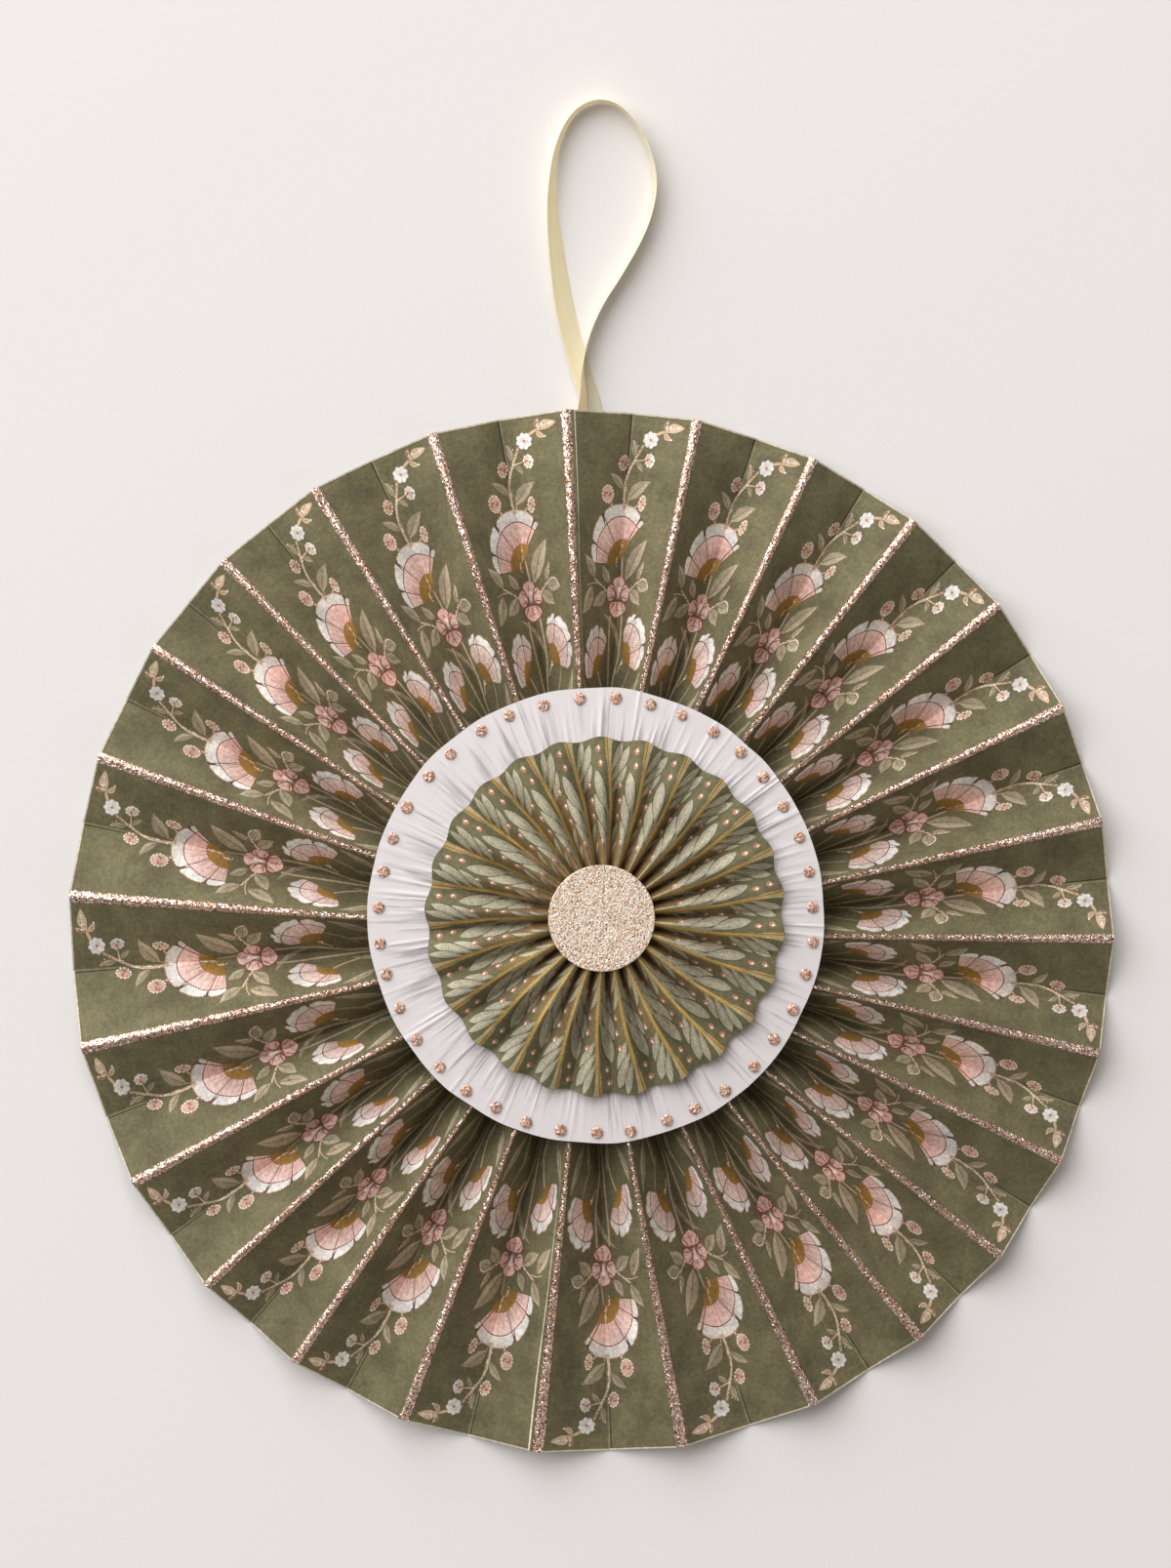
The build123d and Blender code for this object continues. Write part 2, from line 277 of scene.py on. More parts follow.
def drifted(first, turn, drift):
    return first + turn + sum(size * cos(radians(waves * turn + phase)) for waves, size, phase in drift)


def around(radius, clock, centre=(0.0, 0.0)):
    return centre[0] + radius * sin(radians(clock)), centre[1] + radius * cos(radians(clock))


def foldClock(fold):
    return drifted(largeFan["firstRidge"], 180 * fold / largeFan["pleats"], largeFan["drift"])


def valleyFloor(radius):
    reach = largeFan["rim"] - largeFan["cardRadius"]
    return largeFan["cardTop"] * min(1.0, max(0.0, (largeFan["rim"] - radius) / reach))


def ridgeTop(radius):
    return valleyFloor(radius) + sqrt(facetWidth ** 2 - (pi * radius / largeFan["pleats"]) ** 2)


def facetPoint(pleat, s, radius, lift=0.0):
    # A point of the folded sheet. A pleat runs from ridge to ridge, with s = 0 in its valley.
    valley = 2 * pleat + 1
    ridge = valley + (1 if s > 0 else -1)
    share = min(1.0, abs(s) / facetWidth)
    low = Vector((*around(radius, foldClock(valley)), valleyFloor(radius) + 1.5 * largeFan["paper"]))
    high = Vector((*around(radius, foldClock(ridge)), ridgeTop(radius)))
    across = high - low
    outward = Vector((*around(1.0, (foldClock(valley) + foldClock(ridge)) / 2), 0.0))
    normal = across.cross(outward).normalized()
    if normal.z < 0:
        normal.negate()
    # Paper is never quite flat between its folds
    sway = noise.noise(Vector((pleat * 7.3 + s / 30, radius / largeFan["sagLength"], 3.1)))
    lift += largeFan["sagDepth"] * sin(pi * share) * (sway - 0.5)
    return low + across * share + normal * lift


# The print: a spray of carnations, blossom and leaves, once on each pleat. Its shapes are in
# the flat sheet's own millimetres, across from the valley fold and out from the centre.

inks = {
    "ground": "#777052", "leaf": "#AE9F85", "leafPale": "#C1B194", "vein": "#7F7559",
    "leafEdge": "#7D7358", "stalk": "#C9B292", "white": "#F4F0EA", "whiteShade": "#EAE2DA",
    "whiteLeftPaintedLight": "#FFFCF6",
    "pink": "#FBDCD2", "pinkDeep": "#F0C8BC", "blush": "#F7DED3", "blushDeep": "#EECDC1",
    "rib": "#87513F", "splitDark": "#6B5643", "ochre": "#AB8140", "ochreDeep": "#8E6C35",
    "rose": "#DAA896", "roseDeep": "#8C574A", "copper": "#E2BEA7", "copperDeep": "#9A6953",
    "twig": "#B88A70", "twigPale": "#DBBD9C", "speck": "#FBF5EE",
    "scoreShadePainted": "#4C4736", "scoreHighlightPainted": "#938D70", "lapEdge": "#E9E3CA", "cutEdge": "#DBD0BA",
}


def shape(outline, ink, farInk=None, axis=None):
    area = sum(a[0] * b[1] - b[0] * a[1] for a, b in zip(outline, outline[1:] + outline[:1]))
    ordered = outline if area > 0 else outline[::-1]
    return {"outline": ordered, "ink": linear(inks[ink]), "farInk": linear(inks[farInk or ink]),
            "axis": axis or (outline[0], outline[0])}


def inkAt(item, place):
    (ax, ay), (bx, by) = item["axis"]
    span = (bx - ax) ** 2 + (by - ay) ** 2
    share = 0.0 if span == 0 else ((place[0] - ax) * (bx - ax) + (place[1] - ay) * (by - ay)) / span
    share = min(1.0, max(0.0, share))
    return [a + (b - a) * share for a, b in zip(item["ink"], item["farInk"])]


def midrib(base, tip, bend):
    # Gives the function for a place beside a bent line: a share of its length, and an offset
    length = hypot(tip[0] - base[0], tip[1] - base[1])
    along = ((tip[0] - base[0]) / length, (tip[1] - base[1]) / length)
    side = (-along[1], along[0])

    def place(share, offset):
        middle = bend * length * 4 * share * (1 - share)
        return (base[0] + along[0] * length * share + side[0] * (middle + offset),
                base[1] + along[1] * length * share + side[1] * (middle + offset))

    return place


def leaf(base, tip, width, bend, ink="leaf", paleInk="leafPale", edgeInk="leafEdge"):
    # Two halves of slightly different tone on a curved midrib, with a fine dark vein
    steps = 6
    place = midrib(base, tip, bend)

    def swell(i):
        return sin(pi * (i / steps) ** 0.85)

    rimLine = [place(i / steps, 0.56 * width * swell(i)) for i in range(1, steps)]
    rimLine += [tip] + [place(i / steps, -0.56 * width * swell(i)) for i in range(steps - 1, 0, -1)]
    items = [shape([base] + rimLine, edgeInk)]
    for way, tone in ((1, ink), (-1, paleInk)):
        edge = [place(i / steps, way * width / 2 * swell(i)) for i in range(1, steps)]
        rib = [place(i / 3, 0.0) for i in (2, 1)]
        items.append(shape([base] + edge + [tip] + rib, tone))
    thin = 0.03 * width + 0.05
    rib = [place(0.08, -thin), place(0.5, -thin), place(0.85, 0.0), place(0.5, thin), place(0.08, thin)]
    items.append(shape(rib, "vein"))
    if width > 2.8:
        for way in (1, -1):
            a, b = way * 0.16 * width, way * 0.2 * width
            stroke = [place(0.3, a), place(0.45, b), place(0.7, a), place(0.45, b + 0.14)]
            items.append(shape(stroke, "vein"))
    return items


def smoothLine(points, steps=4):
    # Points along a smooth line that passes through the given ones
    smooth = []
    for i in range(len(points) - 1):
        before = points[max(i - 1, 0)]
        a, b = points[i], points[i + 1]
        after = points[min(i + 2, len(points) - 1)]
        for step in range(steps):
            t = step / steps
            smooth.append(tuple(
                0.5 * (2 * a[k] + (b[k] - before[k]) * t
                       + (2 * before[k] - 5 * a[k] + 4 * b[k] - after[k]) * t * t
                       + (3 * a[k] - before[k] - 3 * b[k] + after[k]) * t ** 3) for k in (0, 1)))
    return smooth + [points[-1]]


def alongLine(line, share):
    at = min(max(share, 0.0), 0.9999) * (len(line) - 1)
    a, b = line[int(at)], line[int(at) + 1]
    return tuple(p + (q - p) * (at - int(at)) for p, q in zip(a, b))


def twig(points, width, ink, tipWidth=None, steps=4):
    # A tapering stroke along a smooth line through the points
    smooth = smoothLine(points, steps)
    left, right = [], []
    for i, place in enumerate(smooth):
        near, far = smooth[max(i - 1, 0)], smooth[min(i + 1, len(smooth) - 1)]
        length = hypot(far[0] - near[0], far[1] - near[1])
        side = (-(far[1] - near[1]) / length, (far[0] - near[0]) / length)
        half = (width + ((tipWidth or 0.6 * width) - width) * i / (len(smooth) - 1)) / 2
        left.append((place[0] + side[0] * half, place[1] + side[1] * half))
        right.append((place[0] - side[0] * half, place[1] - side[1] * half))
    return [shape(left + right[::-1], ink)]


def oval(centre, radii, turn=0.0, sides=10, wobble=0.0):
    points = []
    for i in range(sides):
        angle = 2 * pi * i / sides
        swell = 1 + wobble * cos(5 * angle)
        x, y = radii[0] * swell * cos(angle), radii[1] * swell * sin(angle)
        points.append((centre[0] + x * cos(radians(turn)) - y * sin(radians(turn)),
                       centre[1] + x * sin(radians(turn)) + y * cos(radians(turn))))
    return points


def speck(centre, radius, ink="speck"):
    return [shape(oval(centre, (radius, radius), 15, 6), ink)]


def blossom(centre, radius):
    # White petals round a brown eye, on the brown that shows between them
    petals = 8
    items = [shape(oval(centre, (0.86 * radius, 0.86 * radius), 0, 12), "twig")]
    for i in range(petals):
        turn = 360 * i / petals + 11
        x = centre[0] + 0.62 * radius * cos(radians(turn))
        y = centre[1] + 0.62 * radius * sin(radians(turn))
        items.append(shape(oval((x, y), (0.4 * radius, 0.34 * radius), turn, 8), "blushDeep",
                           "white", (centre, (x, y))))
    items.append(shape(oval(centre, (0.4 * radius, 0.4 * radius), 0, 8), "whiteShade"))
    return items + [shape(oval(centre, (0.2 * radius, 0.2 * radius), 0, 6), "twig")]


def bud(centre, radii, turn, ink, tipInk, count):
    # A round bud, stippled all over, with every other dot in a row round its edge
    way = (cos(radians(turn)), sin(radians(turn)))
    near = (centre[0] - way[0] * radii[0], centre[1] - way[1] * radii[0])
    far = (centre[0] + way[0] * radii[0], centre[1] + way[1] * radii[0])
    items = [shape(oval(centre, radii, turn, 14, 0.09), ink, tipInk, (near, far))]
    for i in range(count):
        edge = i % 2 == 0
        angle = pi * i / (count / 2) if edge else 2.4 * i
        reach = 0.92 if edge else 0.6 * sqrt((i + 0.5) / count)
        x, y = radii[0] * reach * cos(angle), radii[1] * reach * sin(angle)
        place = (centre[0] + x * way[0] - y * way[1], centre[1] + x * way[1] + y * way[0])
        tone = ("speck", "copperDeep", "speck", "twigPale")[i % 4]
        items.append(shape(oval(place, (0.32, 0.32), 0, 4), tone))
    return items


def carnation(rimPoints, bodyPoints, calyxPoints, footPoints, splits, ribs,
              body=("pinkDeep", "pink"), lobes=(8, 0.16)):
    # White fringed rim, pink body with brown ribs, ochre calyx at the foot. Its lines all run
    # the same way round the flower. Splits are shares of the way round, ribs are a count, and
    # lobes are a count and how far they reach.
    rimLine, bodyLine = smoothLine(rimPoints, 4), smoothLine(bodyPoints, 4)
    calyxLine = smoothLine(calyxPoints, 3)
    foot = alongLine(calyxLine, 0.5)

    def pushed(place, by):
        x, y = place[0] - foot[0], place[1] - foot[1]
        return place[0] + x / hypot(x, y) * by, place[1] + y / hypot(x, y) * by

    def stroke(a, b, wide, ink, farInk):
        length = hypot(b[0] - a[0], b[1] - a[1])
        side = (-(b[1] - a[1]) / length * wide / 2, (b[0] - a[0]) / length * wide / 2)
        outline = [(a[0] - side[0], a[1] - side[1]), (b[0] - side[0], b[1] - side[1]),
                   (b[0] + side[0], b[1] + side[1]), (a[0] + side[0], a[1] + side[1])]
        return shape(outline, ink, farInk, (a, b))

    # Lobes with fine teeth, and a notch at each split
    fringe, count = [], 2 * len(rimLine)
    for i in range(count + 1):
        share = i / count
        notch = sum(max(0.0, 1 - abs(share - split) / 0.035) for split in splits)
        lobe = abs(sin(pi * lobes[0] * share)) ** 0.6
        reach = lobes[1] * (lobe - 0.6) + (0.15 if i % 2 else -0.12) - 0.8 * notch
        fringe.append(pushed(alongLine(rimLine, share), reach))
    items = [shape([pushed(p, 0.32) for p in fringe] + bodyLine[::-1], "twig")]
    # The white runs from brighter at the start of the rim, on the left, to greyer at its end: painted light
    # that lifts the left half, whose facet lies in shade on the top pleats
    items.append(shape(fringe + bodyLine[::-1], "whiteLeftPaintedLight", "whiteShade", (rimLine[0], rimLine[-1])))
    seam = [pushed(p, 0.34) for p in bodyLine] + [pushed(p, -0.12) for p in bodyLine[::-1]]
    items.append(shape(seam, "rib"))
    items.append(shape(bodyLine + calyxLine[::-1], *body, (foot, alongLine(bodyLine, 0.5))))
    for i in range(ribs):
        share = (i + 0.5) / ribs
        items.append(stroke(alongLine(calyxLine, share), alongLine(bodyLine, share), 0.16,
                            "rib", body[0]))
    streaks = 3 * len(splits) + 7
    for i in range(streaks):
        share = (i + 0.5) / streaks
        a, b = alongLine(bodyLine, share), alongLine(rimLine, share)
        middle = tuple((p + q) / 2 for p, q in zip(a, b))
        items.append(stroke(a, middle, 0.12, "pinkDeep", "whiteShade"))
    for share in splits:
        items.append(stroke(alongLine(calyxLine, share), alongLine(rimLine, share), 0.3, "rib", "rib"))
        mouth = [pushed(alongLine(rimLine, share + way * 0.017), 0.2) for way in (-1, 1)]
        items.append(shape([alongLine(bodyLine, share)] + mouth, "splitDark"))
    items.append(shape(calyxLine + footPoints, "ochreDeep", "ochre",
                       (footPoints[-1], alongLine(calyxLine, 0.3))))
    return items


def petal(points, heart, streaks=3):
    # Dark edge, rose at the heart and paler to the tip, with a few streaks
    outline = smoothLine(points + [points[0]], 2)[:-1]
    middle = tuple(sum(p[k] for p in outline) / len(outline) for k in (0, 1))
    tip = (2 * middle[0] - heart[0], 2 * middle[1] - heart[1])
    inner = [tuple(m + (c - m) * 0.85 for c, m in zip(p, middle)) for p in outline]
    items = [shape(outline, "roseDeep"), shape(inner, "rose", "pink", (heart, tip))]
    across = (-(tip[1] - heart[1]) * 0.14, (tip[0] - heart[0]) * 0.14)
    for i in range(streaks):
        lean = i - (streaks - 1) / 2
        a = tuple(heart[k] + (middle[k] - heart[k]) * 0.55 + across[k] * lean for k in (0, 1))
        b = tuple(middle[k] + (tip[k] - middle[k]) * 0.5 + across[k] * 2.2 * lean for k in (0, 1))
        items += twig([a, b], 0.42, "roseDeep" if i % 2 == 0 else "blush", 0.16, 1)
    return items


def doubleBlossom():
    # An open flower above and a broad petal below it
    heart = (-0.2, 97.4)
    items = petal([(-3.8, 95.2), (-4.6, 93.6), (-3.4, 91.6), (-0.9, 90.3), (1.8, 91.2), (4.2, 92.4),
                   (4.3, 94.2), (2.2, 95.5), (-1.4, 95.7)], (-0.2, 96.6), 5)
    items += petal([(-1.0, 97.4), (-3.2, 99.6), (-3.0, 101.4), (-1.7, 102.5), (-0.2, 102.9), (1.5, 102.5),
                    (2.7, 101.2), (2.4, 99.6), (0.6, 97.4)], heart, 5)
    items += petal([(-1.2, 96.8), (-2.2, 100.0), (-4.2, 100.4), (-5.5, 98.6), (-5.2, 95.8),
                    (-3.2, 94.9)], heart)
    items += petal([(0.8, 96.8), (1.6, 100.2), (3.6, 100.6), (4.9, 98.8), (4.7, 95.9), (2.6, 95.1)],
                   heart)
    items.append(shape(oval((-0.2, 97.9), (0.7, 1.9), 0, 10), "blushDeep", "white",
                       ((-0.2, 96.4), (-0.2, 99.6))))
    items += stipple([(-3.0, 92.8), (3.2, 93.2)], 26, 1.3, 15, ("roseDeep", "blush", "rib"), 0.2)
    for i in range(12):
        items += speck((-0.2 + (0.9 if i % 2 else -0.9) * (0.6 + 0.4 * sin(i)), 95.9 + 0.36 * i), 0.17)
    return items


def stipple(points, count, spread, seed, tones=("speck", "copperDeep", "speck", "copper"), size=0.26):
    # Fine dots strewn along a line, as the block leaves them on twigs. They are drawn half as
    # large again as they are, to show.
    pick = random.Random(seed)
    items = []
    for i in range(count):
        at = (i + pick.random()) / count * (len(points) - 1)
        a, b = points[int(at)], points[min(int(at) + 1, len(points) - 1)]
        x = a[0] + (b[0] - a[0]) * (at - int(at)) + pick.uniform(-spread, spread)
        y = a[1] + (b[1] - a[1]) * (at - int(at)) + pick.uniform(-spread, spread)
        items.append(shape(oval((x, y), (size, size), 0, 4), pick.choice(tones)))
    return items


def sprayTop():
    items = []
    main = [(-0.4, 121.8), (-0.8, 126.6), (-0.6, 130.2), (0.4, 133.6), (2.2, 137.0), (4.3, 140.9)]
    items += leaf((0.7, 124.8), (8.1, 130.7), 3.9, 0.07)
    items += twig([(0.2, 122.4), (0.9, 125.4)], 0.5, "stalk")
    items += leaf((-1.4, 127.9), (-6.2, 132.3), 2.4, -0.06)
    items += leaf((1.6, 137.5), (0.9, 142.1), 1.7, -0.05)
    items += stipple([(0.7, 142.2), (2.5, 140.9)], 6, 0.25, 3)
    items += leaf((2.4, 135.9), (4.9, 133.2), 1.5, 0.08)
    items += twig(main, 0.85, "twigPale", 0.7) + stipple(main, 40, 0.36, 1)
    items += twig([(8.2, 144.3), (10.5, 145.5)], 0.9, "twigPale", 0.8)
    gold = [(10.5, 145.2), (12.2, 147.6), (14.0, 148.0), (16.8, 146.9), (14.4, 145.4), (12.6, 145.2)]
    items.append(shape(smoothLine(gold, 2), "twigPale"))
    items += stipple([(11.4, 146.0), (13.4, 147.0), (15.6, 146.6)], 14, 0.5, 4)
    items += leaf((10.6, 145.8), (11.4, 148.9), 1.3, 0.05, "twig", "twigPale", "twig")
    items += leaf((10.5, 145.0), (13.2, 143.0), 1.6, -0.08, "twigPale", "twigPale", "twig")
    items += stipple([(10.9, 146.4), (11.4, 148.6)], 6, 0.22, 5) + speck((13.2, 143.2), 0.3)
    items += blossom((6.5, 142.7), 2.5)
    items += twig([(2.3, 136.3), (4.2, 136.6), (5.6, 136.9)], 0.5, "twigPale")
    items += bud((7.0, 136.7), (1.6, 2.1), 5, "copper", "white", 18)
    items += bud((-1.8, 135.5), (1.6, 2.3), -12, "copper", "twig", 22)
    items += bud((-6.7, 126.2), (2.1, 2.7), 0, "rose", "copper", 28)
    items += twig([(-5.3, 123.6), (-5.0, 121.8)], 0.6, "copper", 0.5)
    items += twig([(3.0, 122.4), (4.5, 123.6)], 0.5, "copper", 0.4)
    items += bud((6.0, 124.2), (1.3, 2.4), -8, "copper", "twigPale", 20)
    return items


def sprayMiddle():
    items = []
    items += twig([(0.9, 101.6), (0.6, 105.4), (0.2, 109.2)], 0.9, "stalk")
    items += carnation(
        [(-11.4, 106.1), (-12.4, 108.8), (-12.2, 112.0), (-11.4, 115.6), (-9.6, 119.0), (-6.8, 121.6),
         (-3.6, 123.1), (-0.4, 123.4), (3.0, 122.6), (5.8, 120.6), (7.4, 118.2)],
        [(-10.3, 106.1), (-10.3, 109.4), (-9.8, 112.7), (-8.4, 115.0), (-6.2, 117.7), (-3.4, 119.4),
         (0.1, 119.8), (3.2, 118.5), (5.8, 116.7)],
        [(-5.9, 106.2), (-5.6, 108.6), (-3.9, 111.6), (-1.8, 113.1), (0.4, 113.5), (2.6, 113.0)],
        [(1.8, 111.0), (0.6, 108.6), (-1.4, 106.0), (-3.6, 105.7)], (0.2, 0.45, 0.93), 11)
    items += stipple([(0.2, 112.8), (-0.3, 110.4), (-1.6, 107.6), (-2.0, 105.6)], 22, 0.45, 7,
                     ("speck", "twigPale"))
    items += leaf((2.4, 101.6), (9.9, 114.0), 4.9, 0.04)
    # Twigs and leaves to both sides of the double blossom
    items += leaf((5.0, 98.9), (10.4, 94.8), 3.8, 0.04)
    items += leaf((8.0, 100.3), (13.6, 99.6), 3.2, 0.04)
    items += leaf((7.2, 102.2), (9.8, 107.6), 1.8, -0.04)
    right = [(4.6, 98.9), (6.8, 100.2), (8.6, 102.6), (9.8, 107.0)]
    items += twig(right, 0.55, "twigPale", 0.3) + stipple(right, 16, 0.2, 8)
    arch = [(8.2, 101.0), (10.0, 102.4), (12.0, 102.0), (13.3, 99.8)]
    items += twig(arch, 0.35, "twigPale", 0.35) + stipple(arch, 14, 0.15, 9, ("speck", "pink"))
    items += leaf((-11.0, 101.8), (-15.2, 108.3), 3.2, -0.05)
    items += leaf((-4.4, 100.6), (-7.6, 105.6), 3.0, 0.06)
    items += leaf((-5.6, 98.2), (-11.6, 93.6), 3.8, 0.05)
    items += leaf((-12.2, 99.6), (-16.8, 91.0), 3.8, 0.06)
    items += stipple([(-12.2, 99.2), (-13.0, 97.2), (-13.0, 95.4)], 14, 0.7, 10,
                     ("rib", "copper", "twigPale"))
    left = [(-4.8, 97.8), (-8.4, 100.0), (-11.2, 101.6)]
    items += twig(left, 0.6, "twigPale", 0.4) + stipple(left, 12, 0.2, 11)
    items += twig([(-8.6, 100.2), (-12.0, 100.2), (-14.6, 99.4)], 0.4, "twigPale", 0.25)
    return items


def sprayFoot():
    items = []
    # Stems, long leaves, and the two small carnations
    items += leaf((-12.2, 62.0), (-17.2, 72.4), 2.6, 0.06)
    items += leaf((-5.4, 60.0), (-4.0, 69.6), 2.0, 0.04)
    items += leaf((7.2, 60.0), (6.6, 71.6), 1.9, 0.03)
    items += leaf((9.6, 61.0), (16.8, 75.8), 2.9, -0.03)
    items += leaf((2.4, 80.8), (-7.0, 92.0), 3.4, -0.07, "leafEdge", "leaf", "leafEdge")
    items += leaf((3.0, 66.0), (10.6, 78.2), 1.6, -0.05, "leafEdge", "leaf", "leafEdge")
    items += twig([(0.9, 51.0), (0.2, 64.0), (0.2, 70.0), (1.4, 75.0), (2.6, 79.0), (2.8, 85.0),
                   (2.4, 92.0)], 1.15, "stalk", 0.9)
    items += twig([(-0.6, 54.0), (-1.8, 66.0), (-2.3, 72.0), (-2.8, 79.0), (-3.3, 86.0), (-3.2, 91.0)],
                  1.05, "stalk", 0.7)
    items += twig([(0.6, 52.0), (-0.8, 66.0), (-1.4, 73.0)], 0.35, "vein", 0.3)
    items += doubleBlossom()
    items += twig([(2.6, 74.6), (3.8, 76.6), (5.8, 78.8)], 0.5, "twigPale", 0.4)
    items += stipple([(4.2, 77.2), (6.0, 79.2)], 12, 0.6, 12, ("speck", "whiteShade"))
    items += twig([(-5.2, 67.0), (-6.6, 71.0), (-8.7, 75.0)], 0.6, "twigPale", 0.5)
    items += carnation(
        [(-14.8, 72.4), (-15.9, 75.2), (-16.1, 78.4), (-15.2, 82.2), (-13.5, 85.2), (-11.6, 87.0),
         (-9.4, 87.8), (-7.2, 87.2), (-5.4, 85.4), (-4.5, 83.2)],
        [(-13.7, 72.6), (-14.4, 75.8), (-14.2, 78.8), (-13.1, 81.8), (-11.3, 83.8), (-8.8, 84.5),
         (-6.4, 83.8), (-4.8, 82.5)],
        [(-12.2, 73.3), (-11.5, 76.1), (-10.5, 78.4), (-8.7, 79.6), (-6.1, 79.8)],
        [(-7.6, 78.2), (-8.1, 75.6), (-9.4, 73.9)], (0.3, 0.72), 7, ("blushDeep", "blush"), (7, 0.6))
    items += carnation(
        [(5.3, 89.4), (6.6, 91.1), (9.2, 91.8), (11.6, 90.8), (13.8, 89.2), (15.5, 86.8), (16.5, 84.0),
         (16.7, 80.8), (15.7, 78.0), (13.4, 75.8)],
        [(4.2, 86.6), (5.3, 88.7), (7.2, 89.2), (9.4, 88.6), (12.0, 87.0), (13.7, 84.6), (14.4, 81.8),
         (13.9, 79.0), (12.3, 76.2)],
        [(4.9, 83.8), (7.1, 83.8), (8.8, 82.2), (9.6, 79.8), (9.7, 77.4)],
        [(8.5, 76.9), (5.6, 77.6), (5.1, 80.4)], (0.26, 0.68), 7, ("blushDeep", "blush"), (7, 0.7))
    return items


def sprayPrint():
    # Score lines where the fold was pressed in from the rim: a painted shade line beside a painted
    # highlight line
    items = [shape([(-0.75, 149.9), (-0.6, 124.0), (-0.4, 122.0), (-0.25, 149.9)], "scoreShadePainted"),
             shape([(-0.2, 149.9), (-0.1, 123.0), (0.1, 122.0), (0.35, 149.9)], "scoreHighlightPainted")]
    # The knife rounds the edge over, so a pale line runs along the rim: partly the paper's pale core
    # showing and partly a painted highlight on the rounded edge
    rim, wide = largeFan["rim"], facetWidth
    coreAndHighlightFrom = rim - largeFan["coreAndHighlightLine"]
    items.append(shape([(-wide, coreAndHighlightFrom), (wide, coreAndHighlightFrom), (wide, rim), (-wide, rim)], "cutEdge"))
    return items + sprayFoot() + sprayMiddle() + sprayTop()


def printedSheet(items, groundInk, left, right, near, far, columns, rows):
    # Cuts the flat sheet along the outlines of its print. The last shape drawn is on top.
    ground = shape([(left, near), (right, near), (right, far), (left, far)], groundInk)
    layers = [ground] + items
    points, edges, faces = [], [], []
    for layer in layers:
        start = len(points)
        points += [Vector(place) for place in layer["outline"]]
        faces.append(list(range(start, len(points))))
    for i in range(1, columns):
        x = left + (right - left) * i / columns
        edges.append((len(points), len(points) + 1))
        points += [Vector((x, near)), Vector((x, far))]
    for i in range(1, rows):
        y = near + (far - near) * i / rows
        edges.append((len(points), len(points) + 1))
        points += [Vector((left, y)), Vector((right, y))]
    places, _, triangles, _, _, owners = delaunay_2d_cdt(points, edges, faces, 1, 1e-4)
    tops = [layers[max(owner)] if owner else ground for owner in owners]
    return [tuple(p) for p in places], triangles, tops


def lapSeams(sheet):
    # The strip is made of two lengths. Each ends in a glued lap beside a ridge, and its raw
    # cut edge shows pale.
    fan = largeFan
    near, steps, paper = fan["lapFrom"], fan["lapSteps"], fan["paper"]
    reaches = [near + (fan["rim"] - near) * i / steps for i in range(steps + 1)]
    # Up from the sheet, along the top of the lap and down its cut edge, as (across, lift)
    edge = -facetWidth + fan["lapWidth"]
    section = ((edge - 0.7, 0.0), (edge - 0.5, paper), (edge, paper), (edge + 0.6, 0.02))
    wide = len(section)
    for fold in fan["lapFolds"]:
        # The cut wanders by a tenth of a millimetre
        corner = sheet.addPoints([facetPoint(fold // 2, s + 0.12 * sin(r / 9), r, lift)
                                  for r in reaches for s, lift in section])
        for i in range(steps):
            for j, ink in enumerate(("ground", "ground", "lapEdge")):
                a = corner + i * wide + j
                quad = [a, a + 1, a + 1 + wide, a + wide]
                turns = ((i, j), (i, j + 1), (i + 1, j + 1), (i + 1, j))
                place = [(section[k][0], reaches[n]) for n, k in turns]
                sheet.addFace(quad, 0, place, [linear(inks[ink])] * 4)


def largeRosette():
    fan = largeFan
    width, inner, rim = facetWidth, fan["inner"], fan["rim"]
    columns = 2 * round(width / fan["columnStep"])
    rows = round((rim - inner) / fan["rowStep"])
    places, triangles, tops = printedSheet(sprayPrint(), "ground", -width, width, inner, rim,
                                           columns, rows)
    sheet = Surface("large_rosette_paper", [linenPaper("embossedPrintedPaper"),
                                            plainPaper("paperReverse", fan["reverse"]),
                                            plainPaper("paperCutEdge", fan["cutEdge"], 0.4)])
    inkOf = [[inkAt(top, places[i]) for i in corners] for corners, top in zip(triangles, tops)]
    stops = [width * i / (columns // 2) for i in range(columns // 2 + 1)]
    reaches = [inner + (rim - inner) * i / rows for i in range(rows + 1)]
    across = len(stops)
    for pleat in range(fan["pleats"]):
        start = sheet.addPoints([facetPoint(pleat, s, r) for s, r in places])
        for corners, ink in zip(triangles, inkOf):
            sheet.addFace([start + i for i in corners], 0, [places[i] for i in corners], ink)
        # Plain reverse, and the cut edge at the rim
        for side in (-1, 1):
            under = sheet.addPoints([facetPoint(pleat, side * max(s, 0.001), r, -fan["paper"])
                                     for r in reaches for s in stops])
            sheet.addGrid(under, rows, across, 1, side > 0)
            top = sheet.addPoints([facetPoint(pleat, side * max(s, 0.001), rim) for s in stops])
            sheet.addStrip(top, under + rows * across, across, 2, side < 0)
    lapSeams(sheet)
    return sheet.finish(["large_rosette"], smoothAngle=28)


# Glitter glue on the ridges, one grid of flakes over each

stripe = {
    "inner": 60.0, "half": 1.8, "grain": 0.36, "across": 10, "height": 0.15, "roughness": 0.12,
    "shift": -0.12, "wander": 0.22, "sideways": 0.14, "lengthways": 0.22, "edgeHeight": 0.02, "seed": 11,
    # Flakes: name, colour, metallic, roughness and how many of the kind go into the deck
    "tones": (("palestFlake", "#FFF6EE", 0.75, 0.22, 10), ("roseFlake", "#F8D3C0", 0.9, 0.22, 7),
              ("copperFlake", "#D69A7B", 1.0, 0.22, 6), ("brownFlake", "#7C4B37", 1.0, 0.3, 5),
              ("pinkFlake", "#F3C6B4", 0.95, 0.22, 5)),
}


